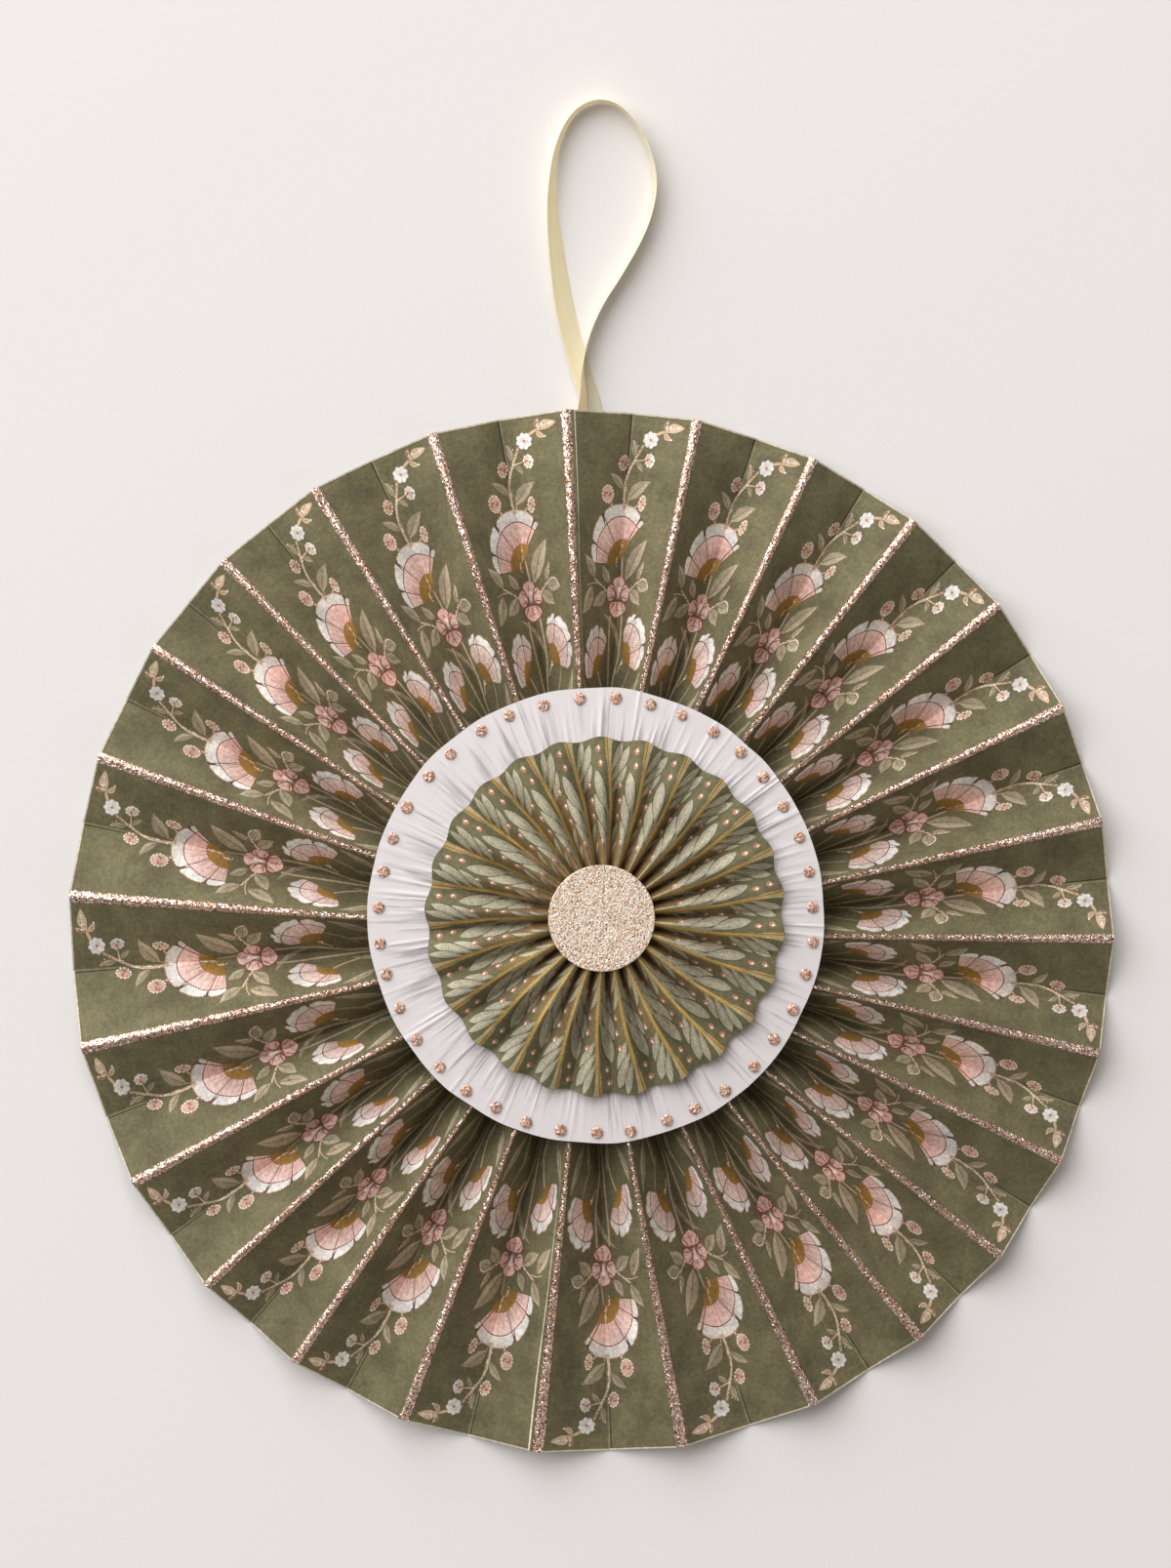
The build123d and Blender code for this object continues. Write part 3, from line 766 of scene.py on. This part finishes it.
def flakeMaterials(tones):
    # The materials, and a deck of their slots to draw from
    materials = [glitterFlake(name, colour, metallic, roughness)
                 for name, colour, metallic, roughness, _ in tones]
    deck = [i for i, tone in enumerate(tones) for _ in range(tone[4])]
    return materials, deck


def ridgeStripes():
    pick = random.Random(stripe["seed"])
    materials, deck = flakeMaterials(stripe["tones"])
    crust = Surface("ridge_glitter_crust", materials)
    rim = largeFan["rim"]
    rows = round((rim - stripe["inner"]) / stripe["grain"])
    across = stripe["across"]
    for ridge in range(largeFan["pleats"]):
        grid = []
        for i in range(rows + 1):
            radius = stripe["inner"] + (rim - stripe["inner"]) * i / rows
            line = []
            for j in range(across + 1):
                outer = j in (0, across)
                offset = (2 * j / across - 1) * (stripe["half"] - stripe["wander"]) + stripe["shift"]
                offset += pick.uniform(-1, 1) * stripe["wander" if outer else "sideways"]
                r, lift = radius, stripe["edgeHeight"]
                if i not in (0, rows):
                    r += pick.uniform(-stripe["lengthways"], stripe["lengthways"])
                if not outer and i != rows:
                    lift = max(lift, stripe["height"] + pick.uniform(-1, 1) * stripe["roughness"])
                pleat = ridge - 1 if offset < 0 else ridge
                s = facetWidth + offset if offset < 0 else -facetWidth + offset
                line.append(facetPoint(pleat, s, min(r, rim), lift))
            grid.append(line)
        start = crust.addPoints([p for line in grid for p in line])
        for i in range(rows):
            for j in range(across):
                a = start + i * (across + 1) + j
                b, c, d = a + 1, a + across + 2, a + across + 1
                pair = ((a, b, c), (a, c, d)) if (i + j) % 2 else ((a, b, d), (b, c, d))
                for corners in pair:
                    crust.addFace(list(corners[::-1]), pick.choice(deck))
    return crust.finish(["ridge_glitter"])


# Collar of gathered crepe

collar = {
    "radius": 65.0, "hole": 9.0, "centre": (1.4, 5.1), "gather": 0.55, "crepe": 0.2,
    "seatGap": 0.32, "folds": 150, "leanFrom": 50.0, "fadeLength": 10.0, "edgeWave": 0.45, "seed": 5,
    # Rows stand close only from a little inside the small rosette's rim. A spoke's width is how
    # far the flat sheet runs there from one spoke to the next.
    "spokes": 900, "rings": 14, "finer": 44.0, "spokeWidth": 0.41,
    "white": "#EBE5E5", "shade": "#B7AFB1", "creaseShadeFade": (50.0, 64.0), "reverse": "#E6E0DC",
}


def collarSeat(x, y):
    return ridgeTop(hypot(x, y)) + collar["seatGap"]


def collarTop(x, y):
    return collarSeat(x, y) + collar["gather"] + collar["crepe"]


def gatherFolds():
    # Each gather: where it is, how wide and high, how far out it reaches and how it leans
    pick = random.Random(collar["seed"])
    folds = []
    for i in range(collar["folds"]):
        clock = 360 * (i + pick.uniform(0.1, 0.9)) / collar["folds"]
        reach = collar["radius"] * pick.choice((0.86, 0.92, 1.0, 1.1))
        folds.append((clock, pick.uniform(0.35, 1.1), pick.uniform(0.12, 1.0), reach,
                      pick.uniform(-0.03, 0.03)))
    return folds


def gatherLift(folds, clock, radius):
    # Height of the crepe over its seat, as a share of the tallest gather
    lift = 0.0
    for middle, width, height, reach, lean in folds:
        away = (clock - middle - lean * (radius - collar["leanFrom"]) + 180) % 360 - 180
        if abs(away) < width:
            fade = min(1.0, max(0.0, (reach - radius) / collar["fadeLength"]))
            lift = max(lift, height * fade * cos(pi / 2 * away / width) ** 2)
    return lift


def collarPaper():
    spokes, rings, finer, rim = collar["spokes"], collar["rings"], collar["finer"], collar["radius"]
    paper = Surface("collar_crepe", [
        crepePaper("whiteCrepe", collar["white"], collar["shade"], *collar["creaseShadeFade"]),
        plainPaper("crepeReverse", collar["reverse"], 0.5)])
    clocks = [360 * j / spokes for j in range(spokes)]
    # No gather reaches a spoke that is 2.5 degrees away
    folds = sorted(gatherFolds())
    nearby = [[fold for fold in folds if abs((clock - fold[0] + 180) % 360 - 180) < 2.5]
              for clock in clocks]
    radii = [collar["hole"]] + [finer + (rim - finer) * i / (rings - 1) for i in range(rings)]
    tops, unders = [], []
    for i, radius in enumerate(radii):
        for clock, gathers in zip(clocks, nearby):
            # The cut edge wanders in and out
            compass = Vector((cos(radians(clock)) * 6, sin(radians(clock)) * 6, 0.4))
            wave = collar["edgeWave"] * noise.noise(compass)
            share = max(0.0, (radius - finer) / (rim - finer))
            reach = min(radius + (wave - 0.25) * share ** 4, rim)
            x, y = around(reach, clock, collar["centre"])
            lift = collar["gather"] * gatherLift(gathers, clock, radius) if i else 0.0
            z = collarSeat(x, y) + lift
            tops.append((x, y, z + collar["crepe"]))
            unders.append((x, y, z))
    top, under = paper.addPoints(tops), paper.addPoints(unders)
    for i in range(len(radii) - 1):
        for j in range(spokes):
            k = (j + 1) % spokes
            a, b, c, d = i * spokes + j, i * spokes + k, (i + 1) * spokes + k, (i + 1) * spokes + j
            left, right = j * collar["spokeWidth"], (j + 1) * collar["spokeWidth"]
            places = [(left, radii[i]), (left, radii[i + 1]), (right, radii[i + 1]), (right, radii[i])]
            paper.addFace([top + a, top + d, top + c, top + b], 0, places)
            paper.addFace([under + a, under + b, under + c, under + d], 1)
    last = (len(radii) - 1) * spokes
    for j in range(spokes):
        k = (j + 1) % spokes
        paper.addFace([top + last + j, under + last + j, under + last + k, top + last + k], 1)
        paper.addFace([top + j, top + k, under + k, under + j], 1)
    return paper.finish(["collar"], smoothAngle=50)


# Glitter dots near the collar's edge

dots = {
    "count": 39, "radius": 1.75, "inset": 3.3, "height": 0.34, "rings": (0.3, 0.56, 0.8, 1.0),
    "sunk": 0.02, "seed": 23,
    "tones": (("dotPale", "#FBE3D4", 0.35, 0.35, 5), ("dotRose", "#E4B8A2", 0.45, 0.33, 7),
              ("dotCopper", "#C6957A", 0.45, 0.33, 6), ("dotBrown", "#9A6B54", 0.4, 0.4, 3)),
}


def ringStrip(near, far):
    # Triangles between two closed rings with different counts of points
    faces, i, j = [], 0, 0
    while i < len(near) or j < len(far):
        a, b = near[i % len(near)], far[j % len(far)]
        nextNear = (i + 1) / len(near) if len(near) > 1 and i < len(near) else 2.0
        nextFar = (j + 1) / len(far) if j < len(far) else 2.0
        if nextNear > 1.5 and nextFar > 1.5:
            break
        if nextNear < nextFar:
            i += 1
            faces.append([a, b, near[i % len(near)]])
        else:
            j += 1
            faces.append([a, b, far[j % len(far)]])
    return faces


def collarDots():
    pick = random.Random(dots["seed"])
    materials, deck = flakeMaterials(dots["tones"])
    crust = Surface("collar_dot_crust", materials)
    for i in range(dots["count"]):
        clock = 360 * (i + 0.5) / dots["count"] + pick.uniform(-0.6, 0.6)
        circle = collar["radius"] - dots["inset"] + pick.uniform(-0.3, 0.3)
        middle = around(circle, clock, collar["centre"])
        size = dots["radius"] * pick.uniform(0.9, 1.0)
        seat = collarTop(*middle) - dots["sunk"]
        rings = [[crust.addPoints([(*middle, seat + dots["height"])])]]
        for n, share in enumerate(dots["rings"]):
            sides = 5 + 5 * n
            last = n == len(dots["rings"]) - 1
            ring = []
            for j in range(sides):
                reach = size * share + pick.uniform(-0.12, 0.12)
                x, y = around(reach, 360 * (j + pick.uniform(-0.25, 0.25)) / sides, middle)
                rise = 0.0
                if not last:
                    rise = dots["height"] * (1 - 0.6 * share ** 3) + pick.uniform(-0.14, 0.1)
                ring.append(crust.addPoints([(x, y, seat + rise)]))
            rings.append(ring)
        for near, far in zip(rings, rings[1:]):
            for corners in ringStrip(near, far):
                crust.addFace(corners, pick.choice(deck))
    return crust.finish(["collar_dots"])


# Small rosette

smallFan = {
    "rim": 50.5, "inner": 8.0, "hub": 6.0, "centre": (3.9, 4.8), "pleats": 25, "rimHeight": 2.5,
    "paper": 0.28, "glue": 0.1,
    "firstCrest": -2.4, "drift": ((1, 1.6, 55.0), (2, 0.85, 59.0), (3, 0.75, 233.0)),
    "rimSwell": 0.6,
    # The print repeats once more than the pleats do, so it creeps across them
    "prints": 26, "firstStem": 2.2, "stemDrift": ((1, 2.4, 102.0),),
    "halfPrint": 6.4, "columns": 18, "rows": 16, "reverseRows": 8,
    "reverse": "#D9D2C2", "cutEdge": "#A9A184",
}
smallFacet = hypot(smallFan["rimHeight"], pi * smallFan["rim"] / smallFan["pleats"])


def smallHeight(radius):
    return sqrt(smallFacet ** 2 - (pi * radius / smallFan["pleats"]) ** 2)


def smallSurface(clock, radius, lift=0.0):
    # A point of the small rosette's top face: soft crests and sharp valleys. A few rounds find
    # the turn that drifts to this clock angle.
    turn = clock - smallFan["firstCrest"]
    for _ in range(4):
        turn = clock - smallFan["firstCrest"] - sum(
            size * cos(radians(waves * turn + phase)) for waves, size, phase in smallFan["drift"])
    pleat = turn * smallFan["pleats"] / 360
    share = 2 * (pleat - round(pleat))
    swell = smallFan["rimSwell"] * cos(pi * share) * (radius / smallFan["rim"]) ** 8
    x, y = around(radius + swell, clock, smallFan["centre"])
    floor = collarTop(x, y) + smallFan["glue"] + smallFan["paper"]
    return Vector((x, y, floor + smallHeight(radius) * cos(share * pi / 2) + lift))


def stemClock(index):
    return drifted(smallFan["firstStem"], 360 * index / smallFan["prints"], smallFan["stemDrift"])


inks.update({
    "frondGround": "#716C4E", "frond": "#9E977E", "frondTip": "#BAB39B", "frondPale": "#C8C0A6",
    "frondEdge": "#524D36", "valleyBrownAndPaintedBounce": "#947349", "quill": "#C0AC80", "stem": "#B8924C",
    "stemDeep": "#8D7037", "stemPale": "#D2B670", "dot": "#C48A70", "dotSpark": "#FBEDE2",
    "dotPaintedShade": "#8E5644",
})


def frond(base, tip, width, bend):
    # A broad leaf with a dark edge, and a pale streak that runs out from its foot
    place = midrib(base, tip, bend)

    def swell(share):
        return width / 2 * sin(pi * share ** 1.5) ** 0.75

    shares = [0.1, 0.25, 0.4, 0.55, 0.7, 0.85, 0.95]
    items = []
    for grow, ink, farInk in ((1.2, "frondEdge", "frondEdge"), (1.0, "frond", "frondTip")):
        outline = [place(s, grow * swell(s)) for s in shares] + [tip]
        outline += [place(s, -grow * swell(s)) for s in shares[::-1]]
        items.append(shape([base] + outline, ink, farInk, (base, tip)))
    return items + twig([place(s, 0.0) for s in (0.3, 0.6, 0.9)], 0.24, "frondPale", 0.14, 2)


def frondPrint():
    # Clockwise is right here. Gold stem, a feather of leaves to each side, and copper dots
    half = smallFan["halfPrint"]
    # Brown in the valleys near the hub, fading into the ground by 40 mm: partly the print's brown and
    # partly painted bounce light, lighter and warmer than the ground, that lifts the deep valley shade
    items = [shape([(a, 8.0), (b, 8.0), (b, 42.0), (a, 42.0)], "valleyBrownAndPaintedBounce", "frondGround",
                   ((0.0, 14.0), (0.0, 40.0))) for a, b in ((-half, -3.0), (2.4, half))]
    items += frond((2.4, 15.0), (6.2, 21.4), 2.0, 0.05) + frond((1.8, 16.5), (5.5, 26.6), 2.3, 0.04)
    items.append(shape([(-2.5, 8.0), (1.0, 8.0), (1.4, 20.0), (1.2, 31.0), (-0.8, 30.0), (-2.2, 20.0)],
                       "quill", "frond", ((0.0, 14.0), (0.0, 30.0))))
    for base, tip, width, bend in (
            ((0.9, 18.0), (-5.2, 29.0), 3.7, 0.05), ((0.7, 23.0), (-6.2, 35.0), 4.2, 0.05),
            ((0.4, 29.0), (-5.0, 41.4), 4.2, 0.06), ((0.6, 34.0), (6.0, 43.8), 2.8, -0.05),
            ((0.4, 37.5), (6.2, 49.0), 3.0, -0.05), ((0.2, 40.5), (3.8, 50.4), 2.2, -0.05)):
        items += frond(base, tip, width, bend)
    stem = [(1.4, 8.0), (1.6, 16.0), (1.6, 25.0), (1.2, 33.0), (0.3, 40.5), (-0.3, 50.4)]
    items += twig(stem[:4], 3.2, "stemDeep", 1.3, 3)
    items += twig(stem, 2.2, "stem", 1.3, 3)
    items += twig([(p[0] - 0.2, p[1]) for p in stem], 0.9, "stemPale", 0.4, 3)
    items.append(shape([(0.1, 40.0), (-1.4, 46.0), (-1.7, 50.4), (0.8, 50.4)], "stem", "frondPale",
                       ((-1.4, 46.0), (0.8, 46.0))))
    for far, ink in ((-1.0, "stemDeep"), (0.1, "stemPale")):
        items += twig([(0.2, 39.5), (0.45 * far, 44.5), (far, 50.4)], 0.16, ink, 0.36, 2)
    # Each copper dot carries a painted glint towards the rim and a painted shade speck on the opposite side
    for place in ((-3.9, 47.4), (-3.3, 43.4), (4.6, 37.4), (5.2, 33.0), (5.0, 28.6), (-3.6, 21.6)):
        items.append(shape(oval(place, (0.85, 1.0), 0, 9, 0.08), "dot"))
        items.append(shape(oval((place[0] + 0.15, place[1] + 0.25), (0.36, 0.5), 20, 6), "dotSpark"))
        items += speck((place[0] - 0.3, place[1] - 0.3), 0.18, "dotPaintedShade")
    return items


def smallRosette():
    fan = smallFan
    half, inner, rim = fan["halfPrint"], fan["inner"], fan["rim"]
    places, triangles, tops = printedSheet(frondPrint(), "frondGround", -half, half, inner, rim,
                                           fan["columns"], fan["rows"])
    paper = Surface("small_rosette_paper", [linenPaper("embossedLeafPaper", 0.8),
                                            plainPaper("leafPaperReverse", fan["reverse"]),
                                            plainPaper("leafPaperEdge", fan["cutEdge"], 0.4)])
    inkOf = [[inkAt(top, places[i]) for i in corners] for corners, top in zip(triangles, tops)]
    stops = [-half + 2 * half * j / fan["columns"] for j in range(fan["columns"] + 1)]
    reverseRows = fan["reverseRows"]
    reaches = [inner + (rim - inner) * i / reverseRows for i in range(reverseRows + 1)]
    across = len(stops)
    for index in range(fan["prints"]):
        middle = stemClock(index)
        before, after = (stemClock(index - 1) + middle) / 2, (stemClock(index + 1) + middle) / 2

        def clockAt(s):
            return middle + (s / half * (after - middle) if s > 0 else s / half * (middle - before))

        start = paper.addPoints([smallSurface(clockAt(s), r) for s, r in places])
        for corners, ink in zip(triangles, inkOf):
            facing = corners[::-1]
            paper.addFace([start + i for i in facing], 0, [places[i] for i in facing], ink[::-1])
        under = paper.addPoints([smallSurface(clockAt(s), r, -fan["paper"])
                                 for r in reaches for s in stops])
        paper.addGrid(under, reverseRows, across, 1)
        top = paper.addPoints([smallSurface(clockAt(s), rim) for s in stops])
        paper.addStrip(top, under + reverseRows * across, across, 2)
    return paper.finish(["small_rosette"], smoothAngle=50)


# Glitter card disc in the middle

disc = {
    "radius": 15.0, "card": 0.8, "centre": (2.9, 4.6), "grain": 0.36, "rowStep": 0.87, "jitter": 0.16,
    "rough": 0.08, "seed": 3, "cardEdge": "#E8DDCB",
    "tones": (("whiteGrit", "#FFFBF2", 0.1, 0.35, 9), ("champagneGrit", "#F8DDBF", 0.3, 0.3, 7),
              ("tanGrit", "#DCAE86", 0.4, 0.35, 5), ("umberGrit", "#9A6C4E", 0.3, 0.4, 3)),
}


def centreDisc():
    pick = random.Random(disc["seed"])
    materials, deck = flakeMaterials(disc["tones"])
    edgeSlot = len(materials)
    crust = Surface("centre_disc_crust", materials + [plainPaper("discCardEdge", disc["cardEdge"], 0.5)])
    # It is glued to the small rosette's hub, which is glued to the collar
    crest = smallHeight(smallFan["hub"])
    base = collarTop(0, 0) + smallFan["glue"] + crest + smallFan["paper"] + smallFan["glue"]
    top = base + disc["card"] - 2 * disc["rough"]
    radius, grain, jitter = disc["radius"], disc["grain"], disc["jitter"]
    sides = round(2 * pi * radius / grain)
    outline = [Vector(around(radius, 360 * i / sides)) for i in range(sides)]
    points = list(outline)
    rows = ceil(radius / (grain * disc["rowStep"]))
    for i in range(-rows, rows + 1):
        for j in range(-2 * rows, 2 * rows + 1):
            x = (j + 0.5 * (i % 2)) * grain + pick.uniform(-jitter, jitter)
            y = i * grain * disc["rowStep"] + pick.uniform(-jitter, jitter)
            if hypot(x, y) < radius - 0.35 * grain:
                points.append(Vector((x, y)))
    places, _, triangles, _, _, _ = delaunay_2d_cdt(points, [], [list(range(sides - 1, -1, -1))], 1, 1e-4)
    cx, cy = disc["centre"]
    heights = [top + (0.0 if hypot(*p) > radius - 0.05 else pick.uniform(0, 2 * disc["rough"]))
               for p in places]
    start = crust.addPoints([(cx + p[0], cy + p[1], z) for p, z in zip(places, heights)])
    for corners in triangles:
        crust.addFace([start + i for i in corners], pick.choice(deck))
    rings = [[crust.addPoints([(cx + p[0], cy + p[1], z)]) for p in outline] for z in (top, base)]
    centre = crust.addPoints([(cx, cy, base)])
    for i in range(sides):
        k = (i + 1) % sides
        crust.addFace([rings[0][i], rings[0][k], rings[1][k], rings[1][i]], edgeSlot)
        crust.addFace([rings[1][i], rings[1][k], centre], edgeSlot)
    return crust.finish(["centre_disc"])


# Ribbon loop. Its route repeats the points of the ribbon's path: x, y, z and the angle of the
# width above the ground, seen along the route with the left edge up. Down the right strand it
# stands 2 to 7 degrees nearer upright than the solid does, as the real one is seen to.

ribbon = {
    "route": (
        (0.3, 60.0, 0.65, 0), (0.5, 84.0, 0.45, 0), (1.3, 112.0, 0.25, 0), (1.7, 136.0, 0.25, 0),
        (0.4, 151.5, 0.35, 3), (-3.2, 162.5, 0.75, 14), (-7.6, 178.0, 1.4, 24), (-10.3, 197.0, 2.3, 44),
        (-11.6, 213.0, 2.95, 66), (-9.6, 228.5, 3.15, 82), (-3.4, 238.4, 3.2, 90), (6.6, 239.6, 3.2, 90),
        (14.8, 230.6, 3.15, 86), (19.1, 217.0, 3.05, 80), (16.8, 204.0, 3.05, 80), (9.8, 190.5, 3.15, 83),
        (1.6, 178.2, 3.2, 84), (-2.7, 164.5, 3.35, 90), (-1.9, 151.2, 3.2, 118), (-4.2, 138.0, 2.2, 145),
        (-6.0, 118.0, 0.75, 172), (-5.9, 94.0, 0.35, 180), (-5.8, 78.0, 0.55, 180), (-5.8, 60.0, 0.65, 180),
    ),
    "width": 6.0, "thickness": 0.22, "pointsPerSpan": 50,
    "columns": (-1.0, -0.93, -0.84, -0.5, 0.0, 0.5, 0.84, 0.93, 1.0),
    "selvedge": 0.09, "stitch": 0.95, "length": 374.0,
    "cream": "#F3E8CF", "warmCream": "#EADCBB",
}


def ribbonLine():
    route = ribbon["route"]
    curve = bpy.data.curves.new("ribbonRoute", "CURVE")
    curve.dimensions = "3D"
    curve.resolution_u = ribbon["pointsPerSpan"]
    spline = curve.splines.new("NURBS")
    spline.points.add(len(route) - 1)
    for point, (x, y, z, _) in zip(spline.points, route):
        point.co = (x * mm, y * mm, z * mm, 1.0)
    spline.order_u = 3
    spline.use_endpoint_u = True
    holder = bpy.data.objects.new("ribbonRoute", curve)
    line = [v.co.copy() for v in bpy.data.meshes.new_from_object(holder).vertices]
    bpy.data.objects.remove(holder)
    return line


def ribbonBand():
    line = ribbonLine()
    rolls = [step[3] for step in ribbon["route"]]
    band = Surface("ribbon_satin", [satinWeave("creamSatin", ribbon["cream"], ribbon["warmCream"])])
    columns = ribbon["columns"]
    grid, run = [], 0.0
    for i, place in enumerate(line):
        ahead, behind = line[min(i + 1, len(line) - 1)], line[max(i - 1, 0)]
        run += (place - line[i - 1]).length / mm if i else 0.0
        forward = (ahead - behind).normalized()
        left = Vector((0, 0, 1)).cross(forward).normalized()
        upward = forward.cross(left)
        # A line of this order passes midway between its control points
        at = min(len(rolls) - 1.001, max(0.0, i / (len(line) - 1) * (len(rolls) - 2) + 0.5))
        roll = radians(rolls[int(at)] + (rolls[int(at) + 1] - rolls[int(at)]) * (at - int(at)))
        across = left * cos(roll) + upward * sin(roll)
        skin = forward.cross(across)
        row = []
        for face in (1, -1):
            for share in columns:
                thick = ribbon["thickness"] / 2
                # Thin at the very edge, with a row of stitches beside it
                if abs(share) > 0.99:
                    thick *= 0.4
                elif abs(share) > 0.8:
                    thick += ribbon["selvedge"] * (0.45 + 0.55 * sin(2 * pi * run / ribbon["stitch"]))
                offset = across * share * ribbon["width"] / 2 + skin * face * thick
                row.append((place / mm + offset, (share * ribbon["width"] / 2, run)))
        grid.append(row)
    width = len(columns)
    start = band.addPoints([p for row in grid for p, _ in row])
    for i in range(len(grid) - 1):
        for face in (0, 1):
            for j in range(width - 1):
                a = start + i * 2 * width + face * width + j
                quad = [a, a + 1, a + 1 + 2 * width, a + 2 * width]
                uv = [grid[i][face * width + j][1], grid[i][face * width + j + 1][1],
                      grid[i + 1][face * width + j + 1][1], grid[i + 1][face * width + j][1]]
                band.addFace(quad if face else quad[::-1], 0, uv if face else uv[::-1])
        for j in (0, width - 1):
            a = start + i * 2 * width + j
            quad = [a, a + width, a + 3 * width, a + 2 * width]
            band.addFace(quad if j == 0 else quad[::-1], 0)
    for i in (0, len(grid) - 1):
        a = start + i * 2 * width
        for j in range(width - 1):
            quad = [a + j, a + j + 1, a + width + j + 1, a + width + j]
            band.addFace(quad if i == 0 else quad[::-1], 0)
    piece = band.finish(["ribbon"], smoothAngle=60)
    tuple(line[0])
    return piece


# Card disc at the back: the CAD's own piece, in uncoated grey board

backing = {"greyBoard": "#D6CDBB", "grain": 0.9}


def backingDisc():
    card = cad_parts["backing_disc"]
    card.data.materials.clear()
    card.data.materials.append(plainPaper("greyBoard", backing["greyBoard"], backing["grain"]))
    print("backing_disc in grey board")


# Floor, lamps, world and camera

studio = {
    "floor": "#F3F0EE", "floorSize": 2.4,
    # name, size (m), distance (m), clock angle, height angle, power (W), tint
    "lamps": (("keyLamp", 5.0, 3.4, 322.0, 36.0, 218.0, "#FEFEFF"),
              ("returnLamp", 2.0, 2.5, 125.0, 30.0, 4.0, "#FFF9F0")),
    "fill": "#FFF7EE", "fillStrength": 0.23,
    "cameraAt": (-1.6, 42.4), "cameraHeight": 1155.0, "lens": 91.8,
}


def areaLamp(name, size, distance, clock, rise, power, tint):
    # A soft square panel that faces the middle of the floor
    light = bpy.data.lights.new(name, "AREA")
    light.shape = "SQUARE"
    light.size = size
    light.energy = power
    light.color = linear(tint)[:3]
    panel = bpy.data.objects.new(name, light)
    x, y = around(distance * cos(radians(rise)), clock)
    panel.location = (x, y, distance * sin(radians(rise)))
    panel.rotation_euler = panel.location.to_track_quat("Z", "Y").to_euler()
    bpy.context.scene.collection.objects.link(panel)


def buildStudio():
    half = studio["floorSize"] / 2
    mesh = bpy.data.meshes.new("floor")
    mesh.from_pydata([(-half, -half, 0), (half, -half, 0), (half, half, 0), (-half, half, 0)], [],
                     [(0, 1, 2, 3)])
    floor = bpy.data.objects.new("floor", mesh)
    mesh.materials.append(plainPaper("backdropPaper", studio["floor"], grain=1.2, mottle=0.012))
    bpy.context.scene.collection.objects.link(floor)
    for lamp in studio["lamps"]:
        areaLamp(*lamp)

    world = bpy.data.worlds.new("studioFill")
    world.use_nodes = True
    backdrop = world.node_tree.nodes["Background"]
    backdrop.inputs["Color"].default_value = linear(studio["fill"])
    backdrop.inputs["Strength"].default_value = studio["fillStrength"]
    bpy.context.scene.world = world

    camera = bpy.data.cameras.new("camera")
    camera.lens = studio["lens"]
    camera.clip_end = 20
    eye = bpy.data.objects.new("camera", camera)
    eye.location = (studio["cameraAt"][0] * mm, studio["cameraAt"][1] * mm, studio["cameraHeight"] * mm)
    bpy.context.scene.collection.objects.link(eye)
    bpy.context.scene.camera = eye
    bpy.context.scene.view_settings.view_transform = "Standard"


buildStudio()
print("studio ready")
ribbonBand()
largeRosette()
ridgeStripes()
collarPaper()
collarDots()
smallRosette()
centreDisc()
backingDisc()
